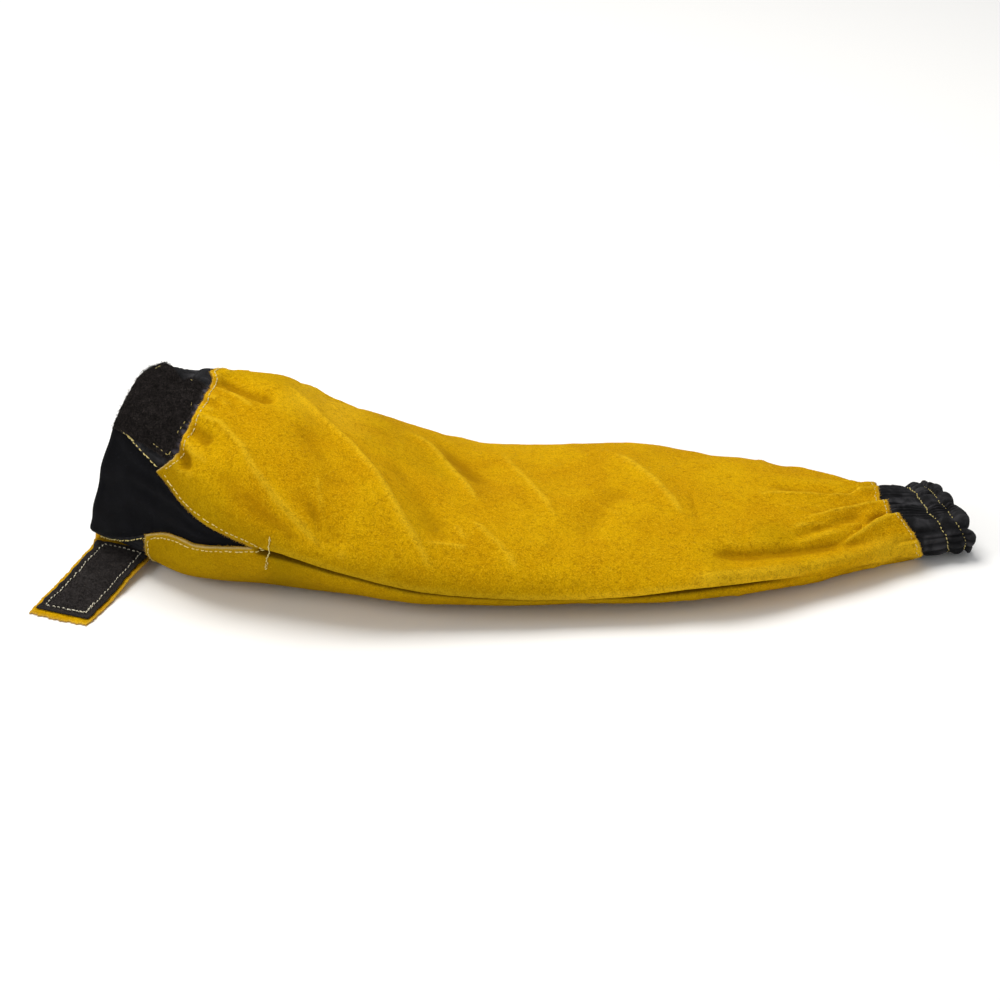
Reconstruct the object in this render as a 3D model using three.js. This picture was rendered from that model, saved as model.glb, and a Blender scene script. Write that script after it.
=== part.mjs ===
// A welder's sleeve in yellow split leather, lying on a flat surface. Millimetres, +Z up.
// The wrist end points to -X, with a gusset, an elastic band, a loop patch and a strap.
// The upper-arm end points to +X and is gathered into an elastic cuff.
// The view that shows the strap and the seam is from -Y.
import * as THREE from 'three'
import { mergeVertices } from 'three/addons/utils/BufferGeometryUtils.js'

// Driving dimensions
const sleeveLength = 596 // along the axis, from the wrist opening to the cuff's free edge
const lyingWidth = 208 // plan width of the lying sleeve where it is widest
const standHeight = 124 // height of the forearm where it stands tallest
const wristLift = 8 // how far the wrist end is raised off the surface
const bandWidth = 48 // wrist band, from the opening to the leather's wrist edge
const cuffDepth = 38 // elastic cuff that shows beyond the leather
const gussetReach = 67 // from the leather's wrist edge to the point of the V
const tuck = 8 // cloth that runs on under the edge of the leather
const leatherWall = 1.8
const gussetWall = 1.2
const bandWall = 2.2
const cuffWall = 2.4
const clearance = 0.4 // between pieces that lie on each other
const lapGap = 0.6 // between the leather and the cloth sewn under its edge
const patchLength = 66 // loop patch, round the wrist
const patchMargin = 2 // from the loop patch to the band's edges
const patchWall = 1.6
const strapWidth = 46
const strapLength = 116
const strapWall = 1.6
const tapeMargin = 3 // strap leather that shows along the hook tape
const tapeEndMargin = 6 // strap leather that shows past the tip of the tape
const tapeLength = 86
const tapeWall = 1.4
const pleatReach = 95 // how far the cuff's gathers run up the leather
const pleatRise = 3.6
const bandPucker = 1.6 // depth of the wrist band's gathers
const ruffleRise = 1.8 // black cloth between the stitch rows
const ruffleWave = 0.6 // its gathers, as a share of ruffleRise
const foldStart = 16 // from the cloth sewn under the leather to where the folds reach their full height
const seamWidth = 5
const seamDepth = 3
const seamStart = 24 // from the V's point to where the seam lies at its full depth
const floorPress = 1.5 // flattening of the underside where it rests

// Counts
const ruffles = 15
const columns = 4 * ruffles
const bandRuffles = 13
const leatherRows = 30

// The lying form, a row for each section. at is a share of sleeveLength, width of lyingWidth,
// height of standHeight and lift of wristLift. rake is how far the crest is pulled back towards the cuff,
// as a share of the height, and turn is the axis's heading in degrees.
const sections = [
  { at: 0.0, width: 0.41, height: 0.99, lift: 1.0, rake: 0.27, turn: -21 },
  { at: 0.08, width: 0.56, height: 1.02, lift: 0.85, rake: 0.2, turn: -18 },
  { at: 0.14, width: 0.74, height: 1.01, lift: 0.2, rake: 0.15, turn: -12 },
  { at: 0.21, width: 0.84, height: 0.96, lift: 0.0, rake: 0.1, turn: -5 },
  { at: 0.3, width: 0.95, height: 0.79, lift: 0.0, rake: 0.04, turn: 0 },
  { at: 0.38, width: 0.98, height: 0.61, lift: 0.0, rake: 0.0, turn: 3 },
  { at: 0.5, width: 1.0, height: 0.48, lift: 0.0, rake: 0.0, turn: 4 },
  { at: 0.63, width: 0.98, height: 0.42, lift: 0.0, rake: 0.0, turn: 1 },
  { at: 0.72, width: 0.87, height: 0.38, lift: 0.0, rake: 0.0, turn: -1 },
  { at: 0.82, width: 0.62, height: 0.34, lift: 0.0, rake: -0.08, turn: 2 },
  { at: 0.92, width: 0.38, height: 0.29, lift: 0.0, rake: -0.25, turn: 13 },
  { at: 1.0, width: 0.37, height: 0.26, lift: 0.0, rake: -0.15, turn: 19 }
]

// The lengthwise seam from the V's point to the cuff. round is a place round the sleeve, as a share of its
// girth from the far side over the crest.
const seamLine = [
  { at: 0.0, round: 0.507 },
  { at: 0.25, round: 0.508 },
  { at: 0.4, round: 0.517 },
  { at: 0.55, round: 0.515 },
  { at: 0.74, round: 0.497 },
  { at: 0.82, round: 0.51 },
  { at: 0.94, round: 0.545 },
  { at: 1.0, round: 0.555 }
]

// The V at the wrist. along is a share from the opening to the V's point. above and below are how far its two
// edges lie from the line of the seam, as shares of the girth.
const gussetEdges = [
  { along: 0.0, above: 0.123, below: 0.153 },
  { along: 0.22, above: 0.09, below: 0.108 },
  { along: 0.41, above: 0.061, below: 0.067 },
  { along: 0.6, above: 0.031, below: 0.033 },
  { along: 0.8, above: 0.013, below: 0.014 },
  { along: 1.0, above: 0.0, below: 0.0 }
]

// Folds and dents of the leather, each a line from one place to another with a soft ridge along it.
// spread is a share of lyingWidth and rise of standHeight, negative for a dent.
const folds = [
  // Ridge above the V's point and the hollow behind it
  { fromAt: 0.15, fromRound: 0.35, toAt: 0.25, toRound: 0.463, spread: 0.05, rise: 0.04 },
  { fromAt: 0.225, fromRound: 0.4, toAt: 0.27, toRound: 0.46, spread: 0.05, rise: -0.03 },
  // Long ridge from the crest down to the middle, with the hollows beside it
  { fromAt: 0.18, fromRound: 0.17, toAt: 0.3, toRound: 0.325, spread: 0.055, rise: 0.04 },
  { fromAt: 0.3, fromRound: 0.325, toAt: 0.367, toRound: 0.458, spread: 0.05, rise: 0.035 },
  { fromAt: 0.23, fromRound: 0.31, toAt: 0.29, toRound: 0.4, spread: 0.055, rise: -0.03 },
  { fromAt: 0.34, fromRound: 0.28, toAt: 0.39, toRound: 0.42, spread: 0.05, rise: -0.025 },
  // Ridge where the forearm starts to lie flat
  { fromAt: 0.335, fromRound: 0.14, toAt: 0.43, toRound: 0.33, spread: 0.05, rise: 0.035 },
  { fromAt: 0.39, fromRound: 0.09, toAt: 0.45, toRound: 0.24, spread: 0.045, rise: -0.02 },
  // Valley under the crest and puckers behind the wrist band
  { fromAt: 0.1, fromRound: 0.26, toAt: 0.21, toRound: 0.285, spread: 0.04, rise: -0.045 },
  { fromAt: 0.085, fromRound: 0.32, toAt: 0.13, toRound: 0.33, spread: 0.03, rise: 0.025 },
  { fromAt: 0.09, fromRound: 0.4, toAt: 0.125, toRound: 0.435, spread: 0.03, rise: -0.035 },
  // Shallow folds of the middle stretch
  { fromAt: 0.47, fromRound: 0.12, toAt: 0.52, toRound: 0.36, spread: 0.06, rise: 0.022 },
  { fromAt: 0.54, fromRound: 0.42, toAt: 0.61, toRound: 0.25, spread: 0.06, rise: -0.022 },
  { fromAt: 0.6, fromRound: 0.12, toAt: 0.67, toRound: 0.34, spread: 0.055, rise: 0.03 },
  // Roll above the seam at the cuff end and the hollow over it
  { fromAt: 0.66, fromRound: 0.475, toAt: 0.84, toRound: 0.485, spread: 0.03, rise: 0.03 },
  { fromAt: 0.84, fromRound: 0.485, toAt: 0.93, toRound: 0.46, spread: 0.035, rise: 0.035 },
  { fromAt: 0.7, fromRound: 0.42, toAt: 0.85, toRound: 0.43, spread: 0.035, rise: -0.035 },
  // Folds that run up from the cuff's gathers
  { fromAt: 0.93, fromRound: 0.29, toAt: 0.78, toRound: 0.37, spread: 0.028, rise: 0.04 },
  { fromAt: 0.93, fromRound: 0.38, toAt: 0.83, toRound: 0.46, spread: 0.025, rise: 0.03 },
  { fromAt: 0.9, fromRound: 0.33, toAt: 0.79, toRound: 0.41, spread: 0.025, rise: -0.03 },
  { fromAt: 0.92, fromRound: 0.15, toAt: 0.76, toRound: 0.2, spread: 0.035, rise: 0.035 },
  // Far side
  { fromAt: 0.17, fromRound: 0.05, toAt: 0.3, toRound: 0.96, spread: 0.05, rise: -0.04 },
  { fromAt: 0.4, fromRound: 0.04, toAt: 0.52, toRound: 0.97, spread: 0.045, rise: 0.035 },
  { fromAt: 0.62, fromRound: 0.98, toAt: 0.74, toRound: 0.06, spread: 0.045, rise: -0.035 }
]

const leatherStart = bandWidth / sleeveLength
const vPoint = (bandWidth + gussetReach) / sleeveLength
const leatherEnd = 1 - cuffDepth / sleeveLength

const radians = (degrees) => (degrees * Math.PI) / 180
const clamp01 = (value) => Math.min(1, Math.max(0, value))
const smooth = (value) => clamp01(value) ** 2 * (3 - 2 * clamp01(value))

// A smooth curve through one column of a table, read at a place in another column.
function columnAt(table, key, column, place) {
  const last = table.length - 1
  let i = 0
  while (i < last - 1 && place > table[i + 1][key]) i += 1
  const slope = (n) => {
    const before = table[Math.max(0, n - 1)]
    const after = table[Math.min(last, n + 1)]
    return (after[column] - before[column]) / (after[key] - before[key])
  }
  const gap = table[i + 1][key] - table[i][key]
  const u = clamp01((place - table[i][key]) / gap)
  const eased = 3 * u ** 2 - 2 * u ** 3
  const level = table[i][column] * (1 - eased) + table[i + 1][column] * eased
  return level + gap * (slope(i) * (u ** 3 - 2 * u ** 2 + u) + slope(i + 1) * (u ** 3 - u ** 2))
}

// The axis in plan, stepped along its heading.
const axisSteps = 240
const axis = [{ x: 0, y: 0 }]
for (let i = 0; i < axisSteps; i += 1) {
  const heading = radians(columnAt(sections, 'at', 'turn', (i + 0.5) / axisSteps))
  const step = sleeveLength / axisSteps
  axis.push({ x: axis[i].x + step * Math.cos(heading), y: axis[i].y + step * Math.sin(heading) })
}

function axisAt(at) {
  const place = Math.min(axisSteps - 1e-6, Math.max(0, at * axisSteps))
  const i = Math.floor(place)
  const along = at * axisSteps - i
  return {
    x: axis[i].x + (axis[i + 1].x - axis[i].x) * along,
    y: axis[i].y + (axis[i + 1].y - axis[i].y) * along,
    heading: radians(columnAt(sections, 'at', 'turn', at))
  }
}

// One section's outline, flat where it rests, with its points at known shares of the girth.
const outlineSteps = 180
const crestPower = 2 / 2.2
const basePower = 2 / 2.9
const outlines = new Map()

function outlineAt(at) {
  const key = at.toFixed(6)
  if (outlines.has(key)) return outlines.get(key)
  const width = columnAt(sections, 'at', 'width', at) * lyingWidth
  const height = columnAt(sections, 'at', 'height', at) * standHeight + floorPress
  const points = []
  for (let i = 0; i <= outlineSteps; i += 1) {
    const angle = (2 * Math.PI * i) / outlineSteps
    const power = Math.sin(angle) < 0 ? basePower : crestPower
    const across = Math.sign(Math.cos(angle)) * Math.abs(Math.cos(angle)) ** power
    const up = Math.sign(Math.sin(angle)) * Math.abs(Math.sin(angle)) ** power
    points.push({ side: (width / 2) * across, up: Math.max(0, (height / 2) * (1 + up) - floorPress) })
  }
  const lengths = [0]
  for (let i = 1; i <= outlineSteps; i += 1) {
    const run = Math.hypot(points[i].side - points[i - 1].side, points[i].up - points[i - 1].up)
    lengths.push(lengths[i - 1] + run)
  }
  const outline = { points, lengths, girth: lengths[outlineSteps] }
  outlines.set(key, outline)
  return outline
}

function onOutline(outline, round) {
  const target = (round - Math.floor(round)) * outline.girth
  let low = 0
  let high = outlineSteps
  while (high - low > 1) {
    const middle = (low + high) >> 1
    if (outline.lengths[middle] > target) high = middle
    else low = middle
  }
  const share = (target - outline.lengths[low]) / (outline.lengths[high] - outline.lengths[low])
  const a = outline.points[low]
  const b = outline.points[high]
  return { side: a.side + (b.side - a.side) * share, up: a.up + (b.up - a.up) * share }
}

const liftAt = (at) => Math.max(0, columnAt(sections, 'at', 'lift', at)) * wristLift

// The smooth outer surface, without folds. at runs along the sleeve and round goes round it.
function smoothPoint(at, round) {
  const { x, y, heading } = axisAt(at)
  const { side, up } = onOutline(outlineAt(at), round)
  const back = columnAt(sections, 'at', 'rake', at) * up
  return new THREE.Vector3(
    x + back * Math.cos(heading) - side * Math.sin(heading),
    y + back * Math.sin(heading) + side * Math.cos(heading),
    up + liftAt(at)
  )
}

const probe = 0.006
function outward(at, round) {
  const low = Math.max(0, at - probe)
  const high = Math.min(1, at + probe)
  const along = smoothPoint(high, round).sub(smoothPoint(low, round))
  const over = smoothPoint(at, round + probe).sub(smoothPoint(at, round - probe))
  return over.cross(along).normalize()
}

// Shares of the girth between two places round the sleeve, the short way.
const roundGap = (a, b) => a - b - Math.round(a - b)

// 1 on the crest and the sides, 0 on the strip where the sleeve rests. Shares of the girth.
const underside = 0.75
const restingHalf = 0.11
const restingFade = 0.1
function offFloor(round) {
  return smooth((Math.abs(roundGap(round, underside)) - restingHalf) / restingFade)
}

// Places of the seam and of the V's edges.
const seamOf = (at) => columnAt(seamLine, 'at', 'round', at)
const aboveSeam = (at) => columnAt(gussetEdges, 'along', 'above', at / vPoint)
const belowSeam = (at) => columnAt(gussetEdges, 'along', 'below', at / vPoint)
const upperEdge = (at) => seamOf(at) - aboveSeam(at)
const lowerEdge = (at) => seamOf(at) + belowSeam(at)

// 1 on the open leather, 0 on the band, the gusset and the leather sewn to them, which have no folds.
function offCloth(at, round) {
  const { girth } = outlineAt(at)
  const fromSeam = roundGap(round, seamOf(at))
  const edge = at > vPoint ? 0 : fromSeam < 0 ? aboveSeam(at) : belowSeam(at)
  const fromEdge = smooth(((Math.abs(fromSeam) - edge) * girth - tuck) / foldStart)
  const fromPoint = smooth(((at - vPoint) * sleeveLength - tuck) / foldStart)
  const fromBand = smooth(((at - leatherStart) * sleeveLength) / foldStart)
  return Math.max(fromEdge, fromPoint) * fromBand
}

// The share of a fold's length over which its ridge runs out at either end.
const foldFade = 0.3

function foldRelief(at, round) {
  let rise = 0
  const girth = outlineAt(at).girth
  for (const fold of folds) {
    const alongX = (fold.toAt - fold.fromAt) * sleeveLength
    const alongY = (fold.toRound - fold.fromRound) * girth
    const x = (at - fold.fromAt) * sleeveLength
    const y = roundGap(round, fold.fromRound) * girth
    const run = Math.hypot(alongX, alongY)
    const share = (x * alongX + y * alongY) / run ** 2
    const aside = Math.abs(x * alongY - y * alongX) / run
    const ends = smooth(share / foldFade + 0.5) * smooth((1 - share) / foldFade + 0.5)
    rise += fold.rise * standHeight * ends * Math.exp(-((aside / (fold.spread * lyingWidth)) ** 2))
  }
  return rise * offCloth(at, round)
}

function seamRelief(at, round) {
  const girth = outlineAt(at).girth
  const aside = roundGap(round, seamOf(at)) * girth
  const begun = smooth(((at - vPoint) * sleeveLength) / seamStart)
  return -seamDepth * begun * Math.exp(-((aside / seamWidth) ** 2))
}

// Pleats of the leather where the cuff gathers it, a quarter wave to each column of the mesh. They grow
// towards the cuff, differ round the sleeve, and flatten to pleatOnCuff over the share pleatFlat of cuffDepth.
const pleatFlat = 0.45
const pleatOnCuff = 0.3
const pleatGrowth = 1.6
const pleatVariation = 0.35
function pleatRelief(at, share) {
  const beyond = (at - leatherEnd) * sleeveLength
  const grown = clamp01(1 + beyond / pleatReach) ** pleatGrowth
  const flattened = 1 - (1 - pleatOnCuff) * smooth(beyond / (pleatFlat * cuffDepth))
  const uneven = 1 - pleatVariation * (1 - Math.cos(2 * Math.PI * (2 * share + 0.15)))
  return pleatRise * uneven * grown * flattened * Math.cos(2 * Math.PI * ruffles * share)
}

function relief(at, round) {
  const pleats = pleatRelief(at, columnShare(at, round))
  return (foldRelief(at, round) + seamRelief(at, round) + pleats) * offFloor(round)
}

// The mesh's columns stand closer together at the seam, where the first one lies.
const crowding = 0.45
const rowCrowding = 0.3
function crowd(share) {
  return share - (crowding / (2 * Math.PI)) * Math.sin(2 * Math.PI * share)
}
function columnShare(at, round) {
  const wanted = round - seamOf(at) - Math.floor(round - seamOf(at))
  let share = wanted
  for (let i = 0; i < 8; i += 1) {
    share -= (crowd(share) - wanted) / (1 - crowding * Math.cos(2 * Math.PI * share))
  }
  return share
}

function skinPoint(at, round, depth) {
  return smoothPoint(at, round).addScaledVector(outward(at, round), relief(at, round) - depth)
}

// A closed sheet of cloth or leather from a grid of places. place(i, j) gives the point on the outer or inner
// face. Rows run along, columns run round. Where isOpen(i) is true, row i's first and last columns are edges.
function sheet(rows, cols, outer, inner, isOpen) {
  const positions = []
  const tri = (a, b, c) => positions.push(...a.toArray(), ...b.toArray(), ...c.toArray())
  const quad = (a, b, c, d) => {
    tri(a, b, c)
    tri(a, c, d)
  }
  const grid = (point) => {
    const lines = []
    for (let i = 0; i <= rows; i += 1) {
      const line = []
      for (let j = 0; j <= cols; j += 1) line.push(point(i, j))
      if (!isOpen(i)) line[cols] = line[0]
      lines.push(line)
    }
    return lines
  }
  const out = grid(outer)
  const inn = grid(inner)
  for (let i = 0; i < rows; i += 1) {
    for (let j = 0; j < cols; j += 1) {
      quad(out[i][j], out[i][j + 1], out[i + 1][j + 1], out[i + 1][j])
      quad(inn[i][j], inn[i + 1][j], inn[i + 1][j + 1], inn[i][j + 1])
    }
    if (isOpen(i) || isOpen(i + 1)) {
      quad(out[i][0], out[i + 1][0], inn[i + 1][0], inn[i][0])
      quad(out[i + 1][cols], out[i][cols], inn[i][cols], inn[i + 1][cols])
    }
  }
  for (let j = 0; j < cols; j += 1) {
    quad(out[0][j + 1], out[0][j], inn[0][j], inn[0][j + 1])
    quad(out[rows][j], out[rows][j + 1], inn[rows][j + 1], inn[rows][j])
  }
  return closedGeometry(positions)
}

// Merges shared vertices, drops triangles that have closed up and turns the faces outwards.
function closedGeometry(positions) {
  const loose = new THREE.BufferGeometry()
  loose.setAttribute('position', new THREE.Float32BufferAttribute(positions, 3))
  const merged = mergeVertices(loose, 1e-3)
  const index = merged.getIndex().array
  const kept = []
  for (let i = 0; i < index.length; i += 3) {
    const [a, b, c] = [index[i], index[i + 1], index[i + 2]]
    if (a !== b && b !== c && c !== a) kept.push(a, b, c)
  }
  const corner = (n) => new THREE.Vector3().fromBufferAttribute(merged.getAttribute('position'), n)
  let volume = 0
  for (let i = 0; i < kept.length; i += 3) {
    volume += corner(kept[i]).dot(corner(kept[i + 1]).cross(corner(kept[i + 2])))
  }
  if (volume < 0) {
    for (let i = 0; i < kept.length; i += 3) [kept[i + 1], kept[i + 2]] = [kept[i + 2], kept[i + 1]]
  }
  merged.setIndex(kept)
  merged.computeVertexNormals()
  return merged
}

const suede = new THREE.MeshStandardMaterial({ color: 0xd9a400, roughness: 0.95, metalness: 0 })
const blackCloth = new THREE.MeshStandardMaterial({ color: 0x15151a, roughness: 0.85, metalness: 0 })
const loopPile = new THREE.MeshStandardMaterial({ color: 0x1b1a1c, roughness: 1, metalness: 0 })
const hookPile = new THREE.MeshStandardMaterial({ color: 0x2a282a, roughness: 0.9, metalness: 0 })

function named(name, geometry, material) {
  const mesh = new THREE.Mesh(geometry, material)
  mesh.name = name
  return mesh
}

// Rows of the leather's mesh. The cloth sewn under it ends on rows of its own, one row lies at the V's point,
// and the rows between the gusset and the cuff stand closer together towards the cuff.
const vRows = 8
const tucked = tuck / sleeveLength
const stations = [leatherStart]
for (let i = 0; i < vRows; i += 1) {
  stations.push(leatherStart + tucked + ((vPoint - leatherStart - tucked) * i) / (vRows - 1))
}
const longRows = leatherRows - stations.length
for (let i = 0; i < longRows; i += 1) {
  const share = i / (longRows - 1)
  const eased = share + (rowCrowding / Math.PI) * Math.sin(Math.PI * share)
  stations.push(vPoint + tucked + (leatherEnd - vPoint - 2 * tucked) * eased)
}
stations.push(leatherEnd)

function leatherBody() {
  const isOpen = (i) => i < vRows
  const point = (depth) => (i, j) => {
    const at = stations[i]
    const share = crowd(j / columns)
    const first = isOpen(i) ? lowerEdge(at) : seamOf(at)
    const last = isOpen(i) ? upperEdge(at) : seamOf(at)
    return skinPoint(at, first + (last + 1 - first) * share, depth)
  }
  return sheet(leatherRows, columns, point(0), point(leatherWall), isOpen)
}

// How far the cuff's cloth stands proud of its seat under the leather.
const cuffRows = [
  { along: 0.0, puff: 0.0 },
  { along: 0.22, puff: 0.8 },
  { along: 0.45, puff: 0.0 },
  { along: 0.58, puff: 0.9 },
  { along: 0.71, puff: 0.0 },
  { along: 0.88, puff: 1.4 },
  { along: 1.0, puff: 0.5 }
]

function elasticCuff() {
  const seat = leatherWall + lapGap
  const rows = [{ along: -tuck / cuffDepth, puff: 0 }, ...cuffRows]
  const point = (depth) => (i, j) => {
    const at = Math.min(1, leatherEnd + (rows[i].along * cuffDepth) / sleeveLength)
    const round = seamOf(at) + crowd(j / columns)
    const wave = 1 + ruffleWave * Math.cos(2 * Math.PI * ruffles * (j / columns))
    const proud = rows[i].puff * ruffleRise * wave * offFloor(round)
    return skinPoint(at, round, seat + depth - proud)
  }
  return sheet(rows.length - 1, columns, point(0), point(cuffWall), () => false)
}

const patchMiddle = 0.305 // place round the band of the loop patch's middle

function wristBand() {
  const seat = leatherWall + lapGap
  const cols = 4 * bandRuffles
  const rows = 5
  const point = (depth) => (i, j) => {
    const at = ((leatherStart + tucked) * i) / rows
    const { girth } = outlineAt(at)
    const first = lowerEdge(at) + clearance / 2 / girth
    const last = upperEdge(at) - clearance / 2 / girth + 1
    const round = first + ((last - first) * j) / cols
    const shown = smooth(((leatherStart - at) * sleeveLength) / tuck)
    const besidePatch = smooth((Math.abs(roundGap(round, patchMiddle)) * girth - patchLength / 2) / tuck)
    const wave = 0.5 - 0.5 * Math.cos((Math.PI * j) / 2)
    return skinPoint(at, round, seat + depth + bandPucker * wave * shown * besidePatch * offFloor(round))
  }
  return sheet(rows, cols, point(0), point(bandWall), () => true)
}

function gusset() {
  const seat = leatherWall + lapGap
  const shownRows = 4
  const rows = []
  for (let i = 0; i < shownRows; i += 1) rows.push((leatherStart * i) / shownRows)
  rows.push(...stations.slice(0, vRows + 1), vPoint + tucked)
  const cols = 10
  const point = (depth) => (i, j) => {
    const at = rows[i]
    const beyondBand = (at - leatherStart - tucked) * sleeveLength
    const side = (tuck * smooth(beyondBand / tuck) - clearance / 2) / outlineAt(at).girth
    const first = upperEdge(Math.min(at, vPoint)) - side
    const last = lowerEdge(Math.min(at, vPoint)) + side
    return skinPoint(at, first + ((last - first) * j) / cols, seat + depth)
  }
  return sheet(rows.length - 1, cols, point(0), point(gussetWall), () => true)
}

function loopPatch() {
  const cols = 10
  const rows = 4
  const bottom = leatherWall - patchWall
  const point = (depth) => (i, j) => {
    const along = patchMargin + ((bandWidth - 2 * patchMargin) * i) / rows
    const at = along / sleeveLength
    const half = patchLength / 2 / outlineAt(at).girth
    return skinPoint(at, patchMiddle + half * ((2 * j) / cols - 1), bottom + depth)
  }
  return sheet(rows, cols, point(0), point(patchWall), () => true)
}

// The strap leaves the underside of the band and comes down to the surface. along is a share of strapLength
// and drop a share of its height at the root.
const strapFall = [
  { along: 0.0, drop: 0.0 },
  { along: 0.15, drop: 0.1 },
  { along: 0.45, drop: 0.5 },
  { along: 0.7, drop: 0.92 },
  { along: 0.85, drop: 1.0 },
  { along: 1.0, drop: 1.0 }
]
const strapRootRound = 0.72
const strapTurn = 2.5
const strapSteps = 14

// A plate on the strap, between two lengths along it and between two heights above its underside.
function strapPlate(from, to, halfWidth, low, high) {
  const bandMiddle = bandWidth / 2 / sleeveLength
  const { x, y, heading } = axisAt(bandMiddle)
  const { side } = onOutline(outlineAt(bandMiddle), strapRootRound)
  const root = new THREE.Vector3(x - side * Math.sin(heading), y + side * Math.cos(heading), 0)
  const direction = heading - Math.PI / 2 - radians(strapTurn)
  const along = new THREE.Vector3(Math.cos(direction), Math.sin(direction), 0)
  const across = new THREE.Vector3(-along.y, along.x, 0)
  const underBand = Math.min(liftAt(0), liftAt(leatherStart)) + leatherWall + lapGap - clearance - strapWall
  const point = (height) => (i, j) => {
    const length = from + ((to - from) * i) / strapSteps
    const drop = columnAt(strapFall, 'along', 'drop', length / strapLength)
    const z = (1 - drop) * underBand + height
    const aside = halfWidth * (2 * j - 1)
    return root.clone().addScaledVector(along, length).addScaledVector(across, aside).setZ(z)
  }
  return sheet(strapSteps, 1, point(high), point(low), () => true)
}

const sleeve = new THREE.Group()
sleeve.add(
  named('leather_body', leatherBody(), suede),
  named('elastic_cuff', elasticCuff(), blackCloth),
  named('wrist_band', wristBand(), blackCloth),
  named('gusset', gusset(), blackCloth),
  named('loop_patch', loopPatch(), loopPile),
  named('strap', strapPlate(0, strapLength, strapWidth / 2, 0, strapWall), suede),
  named(
    'hook_tape',
    strapPlate(
      strapLength - tapeEndMargin - tapeLength,
      strapLength - tapeEndMargin,
      strapWidth / 2 - tapeMargin,
      strapWall + clearance,
      strapWall + clearance + tapeWall
    ),
    hookPile
  )
)

// The origin is the middle of the whole sleeve's footprint, on the surface that it lies on.
sleeve.updateMatrixWorld(true)
const extent = new THREE.Box3().setFromObject(sleeve)
const middle = extent.getCenter(new THREE.Vector3())
sleeve.position.set(-middle.x, -middle.y, -extent.min.z)

export default sleeve
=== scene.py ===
import math
import bpy
import numpy as np
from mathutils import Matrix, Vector


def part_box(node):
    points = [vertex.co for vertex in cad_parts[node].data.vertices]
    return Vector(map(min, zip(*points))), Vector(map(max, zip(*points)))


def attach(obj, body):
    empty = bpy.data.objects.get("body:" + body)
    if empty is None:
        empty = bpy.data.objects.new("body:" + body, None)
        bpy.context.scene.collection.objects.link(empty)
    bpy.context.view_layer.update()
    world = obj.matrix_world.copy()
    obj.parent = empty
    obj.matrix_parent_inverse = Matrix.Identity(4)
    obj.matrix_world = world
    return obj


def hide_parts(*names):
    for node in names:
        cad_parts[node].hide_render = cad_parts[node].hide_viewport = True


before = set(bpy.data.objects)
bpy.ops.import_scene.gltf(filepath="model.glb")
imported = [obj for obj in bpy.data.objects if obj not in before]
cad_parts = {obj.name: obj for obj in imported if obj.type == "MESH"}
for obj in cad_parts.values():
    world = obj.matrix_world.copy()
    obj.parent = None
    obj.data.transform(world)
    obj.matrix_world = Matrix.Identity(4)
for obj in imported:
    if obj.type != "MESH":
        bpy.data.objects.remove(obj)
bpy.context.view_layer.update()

# The form of the lying sleeve, in millimetres. at is a share of the length from the wrist opening,
# round a share of the girth from the far side over the crest: 0.25 on top, 0.5 near side, 0.75 underneath.
form = {
    "length": 596.0, "lyingWidth": 208.0, "standHeight": 124.0, "wristLift": 8.0,
    "bandWidth": 48.0, "cuffDepth": 38.0, "gussetReach": 67.0, "tuck": 8.0, "floorPress": 1.5,
    "leatherWall": 1.8, "lapGap": 0.6, "underside": 0.75, "restingHalf": 0.11, "restingFade": 0.1,
    "foldStart": 16.0, "crestPower": 2 / 2.2, "basePower": 2 / 2.9, "sectionPoints": 181,
}
sectionKeys = ("at", "width", "height", "lift", "rake", "turn")
sections = np.array([
    (0.00, 0.41, 0.99, 1.00, 0.27, -21), (0.08, 0.56, 1.02, 0.85, 0.20, -18),
    (0.14, 0.74, 1.01, 0.20, 0.15, -12), (0.21, 0.84, 0.96, 0.00, 0.10, -5),
    (0.30, 0.95, 0.79, 0.00, 0.04, 0), (0.38, 0.98, 0.61, 0.00, 0.00, 3),
    (0.50, 1.00, 0.48, 0.00, 0.00, 4), (0.63, 0.98, 0.42, 0.00, 0.00, 1),
    (0.72, 0.87, 0.38, 0.00, 0.00, -1), (0.82, 0.62, 0.34, 0.00, -0.08, 2),
    (0.92, 0.38, 0.29, 0.00, -0.25, 13), (1.00, 0.37, 0.26, 0.00, -0.15, 19),
])
# The seam's round against at, and how far the V's upper and lower edges stand from it.
seamLine = np.array([
    (0, 0.507), (0.19, 0.508), (0.24, 0.5135), (0.31, 0.517), (0.4, 0.5185),
    (0.55, 0.515), (0.74, 0.497), (0.82, 0.51), (0.94, 0.545), (1, 0.555),
])
gussetEdges = np.array([
    (0, 0.123, 0.153), (0.22, 0.09, 0.108), (0.41, 0.061, 0.067),
    (0.6, 0.031, 0.033), (0.8, 0.013, 0.014), (1, 0, 0),
])
leatherStart = form["bandWidth"] / form["length"]
vPoint = (form["bandWidth"] + form["gussetReach"]) / form["length"]
leatherEnd = 1 - form["cuffDepth"] / form["length"]
seat = -(form["leatherWall"] + form["lapGap"])  # the cloth lies under the leather


def smooth(value):
    value = np.clip(value, 0, 1)
    return value * value * (3 - 2 * value)


def rising(value, start, span):
    return smooth((value - start) / span)


def between(value, start, rise, end, fall):  # 1 from start + rise to end, 0 outside
    return rising(value, start, rise) * (1 - rising(value, end, fall))


def bell(value):
    return np.exp(-(value**2))


def unit(ways):
    return ways / np.maximum(np.linalg.norm(ways, axis=-1, keepdims=True), 1e-6)


def inMm(share):  # of the sleeve's length
    return share * form["length"]


def turnOf(place):
    return place - np.floor(place)


def grid(rows, columns, first=0):
    return np.meshgrid(np.linspace(0, 1, rows), np.linspace(first, 1, columns), indexing="ij")


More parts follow.
